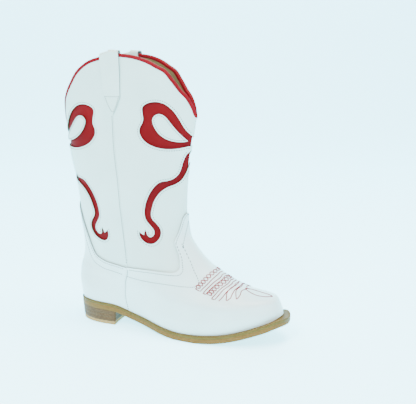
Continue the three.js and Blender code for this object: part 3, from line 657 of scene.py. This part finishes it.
def layered(name, colour, shade, roughness, pitch):
    """The waxed cut edge of stacked or pressed leather: fine level lines."""
    material, nodes, links, shader = node_material(name)
    place = nodes.new("ShaderNodeTexCoord")
    wave = nodes.new("ShaderNodeTexWave")
    wave.wave_type = "BANDS"
    wave.bands_direction = "Z"
    wave.inputs["Scale"].default_value = math.pi / (10 * pitch)
    wave.inputs["Distortion"].default_value = 1.2
    wave.inputs["Detail"].default_value = 2
    wave.inputs["Detail Scale"].default_value = 3
    links.new(place.outputs["Object"], wave.inputs["Vector"])
    spots = speckle(nodes, links, 400, 0, 1)
    blend = nodes.new("ShaderNodeMath")
    blend.operation = "MULTIPLY_ADD"
    blend.inputs[1].default_value = 0.55
    links.new(wave.outputs["Fac"], blend.inputs[0])
    links.new(spots, blend.inputs[2])
    blend.use_clamp = True
    links.new(mixed(nodes, links, blend.outputs[0], colour, shade), shader.inputs["Base Color"])
    shader.inputs["Roughness"].default_value = roughness
    shader.inputs["Specular IOR Level"].default_value = 0.15
    bumped(nodes, links, shader, [(wave.outputs["Fac"], 0.25, 0.0002), (spots, 0.2, 0.0001)])
    return material


def plain(name, colour, shade, roughness, metallic=0.0, scale=600):
    material, nodes, links, shader = node_material(name)
    spots = speckle(nodes, links, scale, 0, 1)
    links.new(mixed(nodes, links, spots, colour, shade), shader.inputs["Base Color"])
    shader.inputs["Roughness"].default_value = roughness
    shader.inputs["Metallic"].default_value = metallic
    shader.inputs["Specular IOR Level"].default_value = 0.15
    bumped(nodes, links, shader, [(spots, 0.3, 0.00015)])
    return material


WHITE = leather("white leather", (0.66, 0.8, 0.75), (0.61, 0.75, 0.7), 0.42, coat=0.1)
VAMP_WHITE = leather("white vamp leather", (0.75, 0.89, 0.87), (0.7, 0.84, 0.82), 0.34, coat=0.25)
STRAP_WHITE = leather("white strap leather", (0.66, 0.79, 0.73), (0.61, 0.74, 0.68), 0.45)
RED = leather("red leather", (0.165, 0.002, 0.004), (0.125, 0.0015, 0.003), 0.6, grain=0.3, shine=0.08)
TAPE = leather("red tape", (0.22, 0.0015, 0.007), (0.165, 0.001, 0.005), 0.55, grain=0.35, shine=0.1)
RAW = plain("raw leather edge", (0.085, 0.062, 0.02), (0.05, 0.037, 0.012), 0.85)
SEAM_EDGE = plain("seam edge", (0.24, 0.26, 0.24), (0.18, 0.2, 0.18), 0.75)
# The stitching thread is pale grey; its colour here is near black, painted shade of the stitch holes
# along each row.
THREAD_PAINTED_HOLE_SHADE = plain("thread in painted hole shade", (0.03, 0.036, 0.032), (0.02, 0.024, 0.022), 0.8, scale=2500)
RED_THREAD = plain("red thread", (0.3, 0.001, 0.004), (0.22, 0.001, 0.003), 0.6, scale=2500)
WELT_THREAD = plain("welt thread", (0.34, 0.27, 0.13), (0.24, 0.19, 0.09), 0.7, scale=2500)
LINING = leather("undyed lining", (0.2, 0.15, 0.06), (0.16, 0.12, 0.05), 0.75, grain=0.4)
BOARD = plain("insole board", (0.42, 0.3, 0.17), (0.34, 0.24, 0.13), 0.85)
STIFF = plain("stiffener sheet", (0.7, 0.66, 0.56), (0.6, 0.56, 0.47), 0.8)
STEEL = plain("steel", (0.42, 0.43, 0.44), (0.34, 0.35, 0.36), 0.35, metallic=1.0)
CORK = plain("pressed cork", (0.42, 0.26, 0.12), (0.22, 0.12, 0.05), 0.9, scale=350)
WELT = layered("welt edge", (0.17, 0.1, 0.018), (0.12, 0.07, 0.012), 0.5, 0.0016)
OUTSOLE = layered("sole leather edge", (0.23, 0.105, 0.02), (0.17, 0.078, 0.014), 0.48, 0.0024)
STACK = layered("heel stack", (0.17, 0.082, 0.032), (0.1, 0.046, 0.018), 0.5, 0.0021)
TOP_LIFT = layered("heel top piece", (0.58, 0.33, 0.125), (0.36, 0.19, 0.07), 0.6, 0.0009)


# ---------------------------------------------------------------- the shaft

def shaft_half(front):
    """The name, the placing and the bow of the shaft's front or back half."""
    return ("front", place_front, FRONT_BOW) if front else ("back", place_back, BACK_BOW)


SHAFT_ROW = 2.0
DROP_ROW = 1.7
SEAM_ROW = 1.6
SEAM_ROW_FOOT = 88
SEAM_ROW_TOP = 262
UNDERLAY_STEP = 2.5
DROP_LIFT = -0.1


def shaft(front):
    """Half of the shaft with its cut-outs, the red leather behind them and its two drops."""
    side, place, bow = shaft_half(front)
    foot = lowered(vamp_line(), LAP) if front else level_line(FOOT, BACK_REACH)
    outline = mirrored(panel_half(collar_line(front), foot, front))
    holes = [
        mirrored(half_outline(bow_runs(BOW_LOOP, bow))),
        mirrored(half_outline(bow_runs(BOW_TAIL, bow), 4)),
    ]
    panel = leather_panel(f"shaft_{side}_leather", outline, holes, place, 0, -LEATHER, [WHITE, RAW])
    belong(panel, "shaft_leather", f"shaft_{side}")
    under = mirrored(np.array(BOW_UNDERLAY, float))
    under = resample(np.vstack([under, under[:1]]) * (bow["stretch"], 1), UNDERLAY_STEP)[:-1]
    backing = leather_panel(f"inlay_{side}_leather", under, [], place,
                            INLAY_OUTER, INLAY_INNER, [RED, RED], cell=3)
    belong(backing, "red_inlay", f"inlay_{side}")
    for sign, name in ((1, "inner" if front else "outer"), (-1, "outer" if front else "inner")):
        half = half_outline(bow_runs(BOW_DROP, bow))[:-1] * (sign, 1)
        piece = leather_panel(f"drop_{side}_{name}_leather", half[::sign], [], place,
                              DROP_LIFT, -LEATHER, [WHITE, RAW], cell=1.6)
        belong(piece, "shaft_leather", f"drop_{side}_{name}")


def shaft_stitching(front):
    """Rows beside each cut-out, inside each drop and, on the back half, beside the side seams."""
    side, place, bow = shaft_half(front)
    thread = Thread()
    tail = half_outline(bow_runs([BOW_TAIL[0]], bow))
    inner_tail = half_outline(bow_runs([BOW_TAIL[-1]], bow))
    drop = half_outline(bow_runs(BOW_DROP, bow))
    loop = half_outline(bow_runs(BOW_LOOP, bow))
    heights = np.arange(SEAM_ROW_FOOT, SEAM_ROW_TOP, 2.0)
    for sign in (1, -1):
        for line in (tail[8:], inner_tail[:-8]):
            row = offset_line(line, -SHAFT_ROW)
            thread.stitches(row * (sign, 1), place, THREAD_RISE)
        thread.stitches(offset_line(drop[3:-3], DROP_ROW) * (sign, 1), place, -THREAD_RISE, pitch=2.5)
        if not front:
            row = np.column_stack([seam_at(heights, front) - SEAM_ROW, heights])
            thread.stitches(row * (sign, 1), place, THREAD_RISE, pitch=2.6)
    for sign in (1, -1):
        thread.stitches(offset_line(loop[3:-3], -SHAFT_ROW) * (sign, 1), place, THREAD_RISE)
    thread.finish(f"stitching_shaft_{side}", THREAD_PAINTED_HOLE_SHADE, "shaft_leather")


# ---------------------------------------------------------------- collar binding and straps

BINDING_WIDTH = 2.7
BINDING_ROW = 0.86  # the stitching's place down the tape, as a share of its width
BINDING_ROW_LIFT = 0.85
SMOOTHING = 5
BINDING_PROFILE = [
    (0.05, 1.0), (0.5, 0.96), (0.85, 0.8), (0.95, 0.5), (0.9, 0.1), (0.5, -0.25),
    (-0.6, -0.45), (-2.0, -0.5), (-3.4, -0.45), (-4.4, -0.25), (-4.8, 0.1), (-4.9, 0.5),
    (-4.8, 0.8), (-4.4, 0.96), (-4.0, 1.0),
]


def binding(front):
    """The red tape folded over the collar: its rounded section run along the collar line."""
    side, place, _ = shaft_half(front)
    half = up_to_seam(collar_line(front, 0.8), front)
    half = resample(half, 1.0)
    line = np.vstack([(half * (-1, 1))[::-1][:-1], half])
    along = unit(np.gradient(line, axis=0))
    down = np.column_stack([along[:, 1], -along[:, 0]])
    kernel = np.ones(SMOOTHING) / SMOOTHING
    padded = np.pad(down, ((SMOOTHING // 2, SMOOTHING // 2), (0, 0)), "edge")
    down = unit(np.column_stack([np.convolve(padded[:, i], kernel, "valid") for i in range(2)]))
    rings = []
    for lift, depth in BINDING_PROFILE:
        spot = line + down * depth * BINDING_WIDTH
        rings.append(place(spot[:, 0], spot[:, 1], lift))
    rings = np.stack(rings, 1)
    count, sides = rings.shape[:2]
    faces = []
    for i in range(count - 1):
        for j in range(sides):
            k = (j + 1) % sides
            a, b = i * sides, (i + 1) * sides
            faces.append((a + j, b + j, b + k, a + k))
    faces.append(tuple(range(sides)))
    faces.append(tuple(range(count * sides - 1, (count - 1) * sides - 1, -1)))
    tape = make_object(f"binding_{side}_tape", rings.reshape(-1, 3), faces, [TAPE])
    belong(tape, "red_binding", f"binding_{side}")
    thread = Thread()
    row = line[3:-3] + down[3:-3] * BINDING_WIDTH * BINDING_ROW
    thread.stitches(row, place, BINDING_ROW_LIFT, pitch=2.2, length=1.1, radius=0.2)
    thread.finish(f"stitching_binding_{side}", RED_THREAD, "red_binding")


STRAP_HALF = 12.0
STRAP_TAPER = 0.84  # how narrow its pointed end is, as a share of the width at the collar
STRAP_FOOT = 262.6
STRAP_POINT = 20.5
STRAP_POINT_CURVE = 1.25
STRAP_INSIDE = 273
STRAP_THICKNESS = 1.3
STRAP_COLUMNS = 17
STRAP_OUTER_STEPS = 40
STRAP_INNER_STEPS = 30
COLLAR_AT_SEAM = 331.3
STRAP_CREST = COLLAR_AT_SEAM + 3.0
STRAP_SHOULDER = STRAP_CREST - 1
STRAP_ARCH = 1.6  # how far the fold rises above the shoulder
STRAP_OUTER_LIFT = 1.2
STRAP_INNER_LIFT = -5.6
STRAP_CLIMB = [(STRAP_FOOT, 0.1), (285, 0.2), (322, 1.1), (STRAP_CREST, STRAP_OUTER_LIFT)]
STRAP_WIDENING = [(STRAP_FOOT, STRAP_TAPER), (283, STRAP_TAPER), (318, 1.0)]
FOLLOW_FROM = 290  # above this the strap comes to follow the collar's slope
FOLLOW_OVER = 40
STRAP_ROW = 1.5
STRAP_ROW_LIFT = 0.1 + STRAP_THICKNESS + 0.1


def strap_path(start):
    """Heights and lifts up the strap's outer face, over the collar and down inside."""
    heights = np.linspace(STRAP_FOOT, STRAP_CREST, STRAP_OUTER_STEPS)
    lifts = np.interp(heights, *np.transpose(STRAP_CLIMB))
    up = start + (STRAP_SHOULDER - start) * np.linspace(0, 1, STRAP_OUTER_STEPS)
    bend = np.linspace(0, math.pi, 9)[1:-1]
    middle = (STRAP_OUTER_LIFT + STRAP_INNER_LIFT) / 2
    half = (STRAP_OUTER_LIFT - STRAP_INNER_LIFT) / 2
    fold = middle + half * np.cos(bend)
    down = np.linspace(STRAP_SHOULDER, STRAP_INSIDE, STRAP_INNER_STEPS)
    path = np.concatenate([up, STRAP_SHOULDER + STRAP_ARCH * np.sin(bend), down])
    inner = np.full(len(down), STRAP_INNER_LIFT)
    return path, np.concatenate([np.interp(up, heights, lifts), fold, inner])


def strap_faces(side):
    """The strap's underside and outer face as two grids of points."""
    across = np.linspace(-STRAP_HALF, STRAP_HALF, STRAP_COLUMNS)
    starts = STRAP_FOOT + STRAP_POINT * np.abs(across / STRAP_HALF) ** STRAP_POINT_CURVE
    paths = np.array([strap_path(start) for start in starts])
    path, lift = paths[:, 0], paths[:, 1]
    reach = across[:, None] * np.interp(path, *np.transpose(STRAP_WIDENING))
    back = smooth(SIDE_SEAM, path)
    front = half_length(path) - back
    edge = np.where(reach < 0, smooth(COLLAR_BACK, back + reach), smooth(COLLAR_FRONT, front - reach))
    follow = np.clip((path - FOLLOW_FROM) / FOLLOW_OVER, 0, 1)
    height = path + (edge - COLLAR_AT_SEAM) * follow
    bare = place_back(side * back + side * reach, height, lift)
    normal = unit(np.cross(np.gradient(bare, axis=0), np.gradient(bare, axis=1)) * side)
    return bare, bare + normal * STRAP_THICKNESS


def grid_rim(rows, columns):
    """The border of a grid of points, in order."""
    rim = [i * columns for i in range(rows)]
    rim += [(rows - 1) * columns + j for j in range(1, columns)]
    rim += [i * columns + columns - 1 for i in range(rows - 2, -1, -1)]
    return rim + list(range(columns - 2, 0, -1))


def pull_strap(side):
    """A strip over the collar on a side seam, pointed and stitched down at its outer end."""
    bare, proud = strap_faces(side)
    rows, columns = bare.shape[:2]
    layers = [proud.reshape(-1, 3), bare.reshape(-1, 3)]
    vertices = np.vstack(layers + layers)
    layer = rows * columns
    faces, slots = [], []
    for i in range(rows - 1):
        for j in range(columns - 1):
            a, b = i * columns + j, (i + 1) * columns + j
            faces.append((a, b, b + 1, a + 1))
            faces.append((a + 1 + layer, b + 1 + layer, b + layer, a + layer))
            slots += [0, 0]
    rim = grid_rim(rows, columns)
    for a, b in zip(rim, rim[1:] + rim[:1]):
        faces.append((b + 2 * layer, a + 2 * layer, a + 3 * layer, b + 3 * layer))
        slots.append(1)
    if side < 0:
        faces = [f[::-1] for f in faces]
    name = "outer" if side > 0 else "inner"
    strap = make_object(f"pull_strap_{name}_leather", vertices, faces, [STRAP_WHITE, SEAM_EDGE], slots)
    belong(strap, "strap_leather", f"pull_strap_{name}")
    strap_stitching(side, name)


def strap_stitching(side, name):
    """The pointed row at the strap's foot and the row across it."""
    thread = Thread()
    half = STRAP_HALF * STRAP_TAPER - STRAP_ROW
    crown = STRAP_FOOT + STRAP_POINT
    tip = [
        (-half, crown), (-half * 0.6, STRAP_FOOT + 11), (0, STRAP_FOOT + 3.2),
        (half * 0.6, STRAP_FOOT + 11), (half, crown),
    ]
    cross = np.array([(-half, crown), (half, crown)])
    centre = side * float(smooth(SIDE_SEAM, STRAP_FOOT + 10))
    for line in (curve(tip, 8), cross):
        thread.stitches(line + (centre, 0), place_back, STRAP_ROW_LIFT, pitch=2.3, length=1.4)
    thread.finish(f"stitching_strap_{name}", THREAD_PAINTED_HOLE_SHADE, "strap_leather")


# ---------------------------------------------------------------- vamp and counter cover

FOOT_ROWS = (1.8, 8.6)  # how far the two rows lie from the panel's edge
FOOT_SEAM_ROW = 1.8
FOOT_SEAM_FROM = 31
FOOT_SEAM_TO = 82
CREASE_CLEARANCE = 0.3


def foot_upper():
    """The vamp, the leather round the heel, and their stitching."""
    vamp = mirrored(panel_half(vamp_line(), level_line(FOOT, VAMP_REACH), True))
    piece = leather_panel("vamp_leather_panel", vamp, [], place_front, VAMP_OUTER, VAMP_INNER,
                          [VAMP_WHITE, SEAM_EDGE], cell=2.6)
    belong(piece, "vamp_leather", "vamp")
    counter_top = curve(COUNTER_TOP, 6)
    counter = mirrored(panel_half(counter_top, level_line(FOOT, BACK_REACH), False))
    piece = leather_panel("counter_leather_panel", counter, [], place_back, VAMP_OUTER, VAMP_INNER,
                          [VAMP_WHITE, SEAM_EDGE], cell=2.6)
    belong(piece, "vamp_leather", "counter_cover")
    thread = Thread()
    lift = VAMP_OUTER + THREAD_RISE
    for line, front, place in ((vamp_line(), True, place_front), (counter_top, False, place_back)):
        for inset in FOOT_ROWS:
            row = offset_line(line, inset)
            before_seam = row[:, 0] < seam_at(row[:, 1], front) - 1
            row = row[(row[:, 0] > CREASE_CLEARANCE) & before_seam]
            for sign in (1, -1):
                thread.stitches(row * (sign, 1), place, lift)
    heights = np.arange(FOOT_SEAM_FROM, FOOT_SEAM_TO, 2.0)
    for sign in (1, -1):
        row = np.column_stack([seam_at(heights, True) - FOOT_SEAM_ROW, heights])
        thread.stitches(row * (sign, 1), place_front, lift, pitch=2.6)
    thread.finish("stitching_foot", THREAD_PAINTED_HOLE_SHADE, "vamp_leather")


# The toe stitching's rows on the outer half of the vamp, from the side of the toe to the
# crease, as (distance from the crease, height). The first and fifth are chains.
CHAIN_ROWS = [
    [(51, 77.3), (30.5, 81.8), (12.6, 85.2), (0, 86.2)],
    [(52, 72.7), (21.3, 78.9), (0, 81.3)],
]
PLAIN_ROWS = [
    [(54, 75), (32.3, 79.8), (13.8, 83.3), (0, 84.6)],
    [(53.6, 74), (22.8, 80.6), (0, 83.4)],
    [(53.7, 73.1), (22.8, 79.6), (0, 82.4)],
    [(54.8, 70.6), (22.2, 77.3), (0, 79.9)],
    [(54.8, 69.5), (22.5, 76.3), (0, 78.8)],
    [(53.8, 68.3), (22.1, 75.1), (0, 77.6)],
]
ROW_ENDS = [
    [(51, 77.3), (55, 76.5), (54, 75)],
    [(53.6, 74), (55.2, 73.6), (53.7, 73.1)],
    [(54.8, 70.6), (56.6, 70), (54.8, 69.5)],
]
PETALS = [
    [(0, 77), (12, 76.6), (24, 74.6), (35, 71.6), (44, 68.6), (35, 70.2), (24, 72.9), (12, 75.2),
     (0, 75.8)],
    [(0, 75.3), (9, 75.2), (18, 73.4), (31, 69.2), (20, 71.4), (9, 73.6), (0, 73.2)],
    [(0, 74), (5, 71.5), (6.5, 68), (4.5, 64.8), (0, 62)],
]
TOE_THREAD = 0.52
TOE_THREAD_RISE = 0.12
CHAIN_CROSSINGS = 7
CHAIN_WIDTH = 0.75


def braid(row, crossings, width):
    """Two waves that cross along a row, as a chain stitch."""
    line = resample(curve(row), 0.7)
    t = np.linspace(0, 1, len(line))
    wave = np.sin(t * crossings * math.pi) * width
    return [offset_line(line, wave[:, None] * way) for way in (1, -1)]


def toe_stitching():
    """The red fancy stitching over the toe, the same on both sides of the crease."""
    thread = Thread()
    lines = [resample(curve(row), 0.9) for row in PLAIN_ROWS + ROW_ENDS + PETALS]
    for row in CHAIN_ROWS:
        lines += braid(row, CHAIN_CROSSINGS, CHAIN_WIDTH)
    for line in lines:
        for side in (1, -1):
            thread.tube(line * (side, 1), place_front, VAMP_OUTER + TOE_THREAD_RISE, TOE_THREAD)
    thread.finish("stitching_toe", RED_THREAD, "red_inlay")


# ---------------------------------------------------------------- the sole

def around(lift, samples=240):
    """A closed line round the lowest ring, moved outward by a distance or by a rule of the angle."""
    angle = -math.pi + 2 * math.pi * np.arange(samples) / samples
    out = lift(angle) if callable(lift) else np.full(samples, float(lift))
    return on_skin(np.zeros(samples), angle, out)[:, :2]


EDGE_SHOWS = 1.4  # how far the sole stands out all round, then more at the toe and the joint
TOE_SHOWS = 7
JOINT_SHOWS = 2.2
JOINT_ANGLE = 1.2
JOINT_SPREAD = 0.5


def sole_edge(angle):
    """How far the sole's edge stands out from the last at an angle from the toe."""
    toe = np.maximum(0, np.cos(angle)) ** 3
    joint = np.exp(-(((np.abs(angle) - JOINT_ANGLE) / JOINT_SPREAD) ** 2))
    return VAMP_OUTER + EDGE_SHOWS + TOE_SHOWS * toe + JOINT_SHOWS * joint


def slab(name, outline, top_at, bottom_at, profile, material, hole=None):
    """A plate over a plan outline; profile lists (share down, inset) points of its edge."""
    holes = [] if hole is None else [hole]
    flat, triangles = triangulate(outline, holes, SLAB_CELL)
    count = len(flat)
    middle = outline.mean(0)
    top = np.column_stack([flat, top_at(flat[:, 0])])
    bottom = np.column_stack([flat, bottom_at(flat[:, 0])])
    vertices = [top, bottom]
    faces = two_sides(triangles, count)
    total = 2 * count
    for loop, turn in [(outline, 1)] + [(h, -1) for h in holes]:
        size = len(loop)
        along = unit(np.roll(loop, -1, axis=0) - np.roll(loop, 1, axis=0))
        out = np.column_stack([along[:, 1], -along[:, 0]])
        if ((loop - middle) * out).sum() < 0:
            out = -out
        levels = profile if turn > 0 else [(0, 0), (1, 0)]
        for share, inset in levels:
            spot = loop - out * inset
            high, low = top_at(loop[:, 0]), bottom_at(loop[:, 0])
            vertices.append(np.column_stack([spot, high + (low - high) * share]))
        outward = signed_area(loop) * turn > 0
        for level in range(len(levels) - 1):
            a, b = total + level * size, total + (level + 1) * size
            for i in range(size):
                j = (i + 1) % size
                quad = (a + i, b + i, b + j, a + j)
                faces.append(quad if outward else quad[::-1])
        total += len(levels) * size
    return make_object(name, np.vstack(vertices), faces, [material])


def signed_area(loop):
    x, y = loop[:, 0], loop[:, 1]
    return float((x * np.roll(y, -1) - y * np.roll(x, -1)).sum() / 2)


SLAB_CELL = 6.0
WELT_THICK = 3.0
WELT_INNER = -13
WELT_ROW = 1.5
WELT_ROW_FROM = 52
WELT_ROW_LIFT = 0.12
PAST_TOE = 300  # an x beyond the toe, to put the welt's stitches in order round it
TOE_TIP = 256  # from here the sole's top falls away towards the tip
TIP_FALL = 0.022
PLY_GAP = 0.15
SOLE_DEPTH = 9.05  # from the sole line to the outsole's underside
BOTTOM_FALL = 0.7  # the underside falls at the toe by this share of the top's fall
WELT_TOP_DROP = 0.25
TOP_PIECE = 4.6
LIFT = 4.2
LIFT_GAP = 0.42
STACK_LIFTS = 3
ROUND_EDGE = [(0, 0.0), (0.08, -0.12), (0.3, -0.22), (0.7, -0.22), (0.92, -0.12), (1, 0.0)]


def tip_fall(x):
    return TIP_FALL * np.maximum(0, x - TOE_TIP) ** 2


def welt_top(x):
    return sole_line(x) - WELT_TOP_DROP - tip_fall(x)


def welt_bottom(x):
    return welt_top(x) - WELT_THICK


def outsole_top(x):
    return welt_bottom(x) - PLY_GAP


def outsole_bottom(x):
    return np.maximum(0.0, sole_line(x) - SOLE_DEPTH - BOTTOM_FALL * tip_fall(x))


def inside_edge(inset):
    """A rule for a line that lies inside the sole's edge."""
    def rule(angle):
        return sole_edge(angle) - inset
    return rule


def sole():
    """The welt, the outsole and the welt's row of stitches."""
    piece = slab("welt_strip", around(sole_edge), welt_top, welt_bottom, ROUND_EDGE, WELT,
                 hole=around(WELT_INNER, 160))
    belong(piece, "welt_leather", "welt")
    plan = around(inside_edge(PLY_GAP))
    piece = slab("outsole_leather_plate", plan, outsole_top, outsole_bottom, ROUND_EDGE, OUTSOLE)
    belong(piece, "outsole_leather", "outsole")
    thread = Thread()
    ring = around(inside_edge(WELT_ROW), 400)
    welt_row(thread, ring[ring[:, 0] > WELT_ROW_FROM])
    thread.finish("stitching_welt", WELT_THREAD, "welt_leather")


def welt_row(thread, ring):
    """Lays the lockstitch of the welt on its top face."""
    def place(x, y, lift):
        return np.column_stack([x, y, welt_top(np.asarray(x)) + lift])

    side = np.where(ring[:, 1] < swing(ring[:, 0]), -1, 1)
    ring = ring[np.argsort(side * (PAST_TOE - ring[:, 0]))]
    thread.stitches(ring, place, WELT_ROW_LIFT, pitch=3.0, length=2.2, radius=0.35)


BREAST = 57.0
BREAST_HOLLOW = 3.0
BREAST_SLOPE = 1.5
HEEL_INSET = 0.6
HEEL_FLARE = 1.6
HEEL_GAP = 0.1


def heel_outline(height):
    """The heel's plan at a height: round at the back, with a hollow breast in front."""
    share = min(1.0, height / (TOP_PIECE + STACK_LIFTS * (LIFT + LIFT_GAP)))
    breast = BREAST + BREAST_SLOPE * share
    ring = around(VAMP_OUTER - HEEL_INSET + HEEL_FLARE * share, 300)
    ring = ring[ring[:, 0] < breast - 1]
    lower = ring[ring[:, 1] < 0]
    upper = ring[ring[:, 1] >= 0]
    lower = lower[np.argsort(lower[:, 0])]
    upper = upper[np.argsort(-upper[:, 0])]
    across = np.linspace(-1, 1, 17)
    edge = np.column_stack([
        breast - BREAST_HOLLOW * (1 - across ** 2), across * abs(lower[-1, 1]),
    ])
    return np.vstack([lower, edge, upper])


def level_at(height):
    """A rule that gives one height at every x."""
    def rule(x):
        return np.full(len(x), float(height))
    return rule


def heel_seat(x):
    return outsole_bottom(x) - HEEL_GAP


def heel():
    """The stacked lifts, from the lowest up to the outsole, and the top piece on the ground."""
    base = TOP_PIECE + HEEL_GAP
    for i in range(STACK_LIFTS, 0, -1):
        following = base + LIFT + LIFT_GAP
        top_at = heel_seat if i == 1 else level_at(following - HEEL_GAP)
        piece = slab(f"heel_lift_{i}_leather", heel_outline(base + LIFT / 2), top_at, level_at(base),
                     ROUND_EDGE, STACK)
        belong(piece, "heel_stack", f"heel_lift_{i}")
        base = following
    piece = slab("heel_top_piece_rubber", heel_outline(0), level_at(TOP_PIECE), level_at(0),
                 ROUND_EDGE, TOP_LIFT)
    belong(piece, "top_piece", "heel_top_piece")


# ---------------------------------------------------------------- the parts kept from the frame

HEEL_NAILS = 5


def keep_inside():
    """Gives the CAD parts that stay in the scene their materials."""
    finish = {
        LINING: ["lining_front", "lining_back", "vamp_lining", "sock_liner"],
        STIFF: ["toe_puff", "heel_stiffener"],
        BOARD: ["insole_board"],
        STEEL: ["shank", *[f"heel_nail_{i}" for i in range(1, HEEL_NAILS + 1)]],
        CORK: ["forefoot_filler"],
    }
    for material, names in finish.items():
        for name in names:
            slots = frame["nodes"][name].data.materials
            if len(slots):
                frame["nodes"][name].material_slots[0].material = material
            else:
                slots.append(material)


# ---------------------------------------------------------------- studio

BACKDROP_FRONT = -3.0
BACKDROP_BEND = 1.2
BEND_RADIUS = 0.9
BACKDROP_TOP = 3.5
BACKDROP_HALF = 4.0
LAMP_AIM = (0, 0, 0.15)


def backdrop_material():
    material, _, _, shader = node_material("backdrop")
    shader.inputs["Base Color"].default_value = (0.74, 0.9, 0.95, 1)
    shader.inputs["Emission Color"].default_value = (0.29, 0.82, 1.0, 1)
    shader.inputs["Emission Strength"].default_value = 4.2
    shader.inputs["Roughness"].default_value = 0.6
    shader.inputs["Specular IOR Level"].default_value = 0.15
    return material


def backdrop():
    """A pale floor that bends up into a wall behind the boot."""
    turn = np.linspace(0, math.pi / 2, 16)
    profile = [(BACKDROP_FRONT, 0.0), (BACKDROP_BEND, 0.0)]
    for a in turn[1:]:
        along = BACKDROP_BEND + BEND_RADIUS * math.sin(a)
        profile.append((along, BEND_RADIUS - BEND_RADIUS * math.cos(a)))
    profile.append((BACKDROP_BEND + BEND_RADIUS, BACKDROP_TOP))
    vertices, faces = [], []
    for along, up in profile:
        vertices += [(-BACKDROP_HALF, along, up), (BACKDROP_HALF, along, up)]
    for i in range(len(profile) - 1):
        faces.append((2 * i, 2 * i + 1, 2 * i + 3, 2 * i + 2))
    mesh = bpy.data.meshes.new("backdrop")
    mesh.from_pydata(vertices, [], faces)
    mesh.materials.append(backdrop_material())
    mesh.polygons.foreach_set("use_smooth", np.full(len(faces), True))
    obj = bpy.data.objects.new("backdrop", mesh)
    bpy.context.scene.collection.objects.link(obj)
    obj.rotation_euler = (0, 0, CAMERA_AZIMUTH)


def studio():
    """The backdrop, a soft pale world and three lamps."""
    backdrop()
    world_data = bpy.data.worlds.new("studio")
    bpy.context.scene.world = world_data
    world_data.use_nodes = True
    background = world_data.node_tree.nodes["Background"]
    background.inputs["Color"].default_value = (0.88, 0.95, 1.0, 1)
    background.inputs["Strength"].default_value = 0.55
    lamp("key", (-0.3, -1.3, 1.6), 0.8, 52, (1.0, 0.99, 0.96))
    lamp("fill", (1.3, -0.9, 0.9), 1.2, 12, (0.93, 0.98, 1.0))
    lamp("top", (0.35, 0.2, 1.7), 0.8, 44, (0.97, 1.0, 1.0))


def lamp(name, spot, size, power, colour):
    data = bpy.data.lights.new(name, "AREA")
    data.shape = "SQUARE"
    data.size = size
    data.energy = power
    data.color = colour
    obj = bpy.data.objects.new(name, data)
    obj.location = spot
    aim = Vector(LAMP_AIM) - Vector(spot)
    obj.rotation_euler = aim.to_track_quat("-Z", "Y").to_euler()
    bpy.context.scene.collection.objects.link(obj)


for is_front in (True, False):
    shaft(is_front)
    shaft_stitching(is_front)
    binding(is_front)
foot_upper()
for strap_side in (1, -1):
    pull_strap(strap_side)
toe_stitching()
sole()
heel()
keep_inside()
studio()
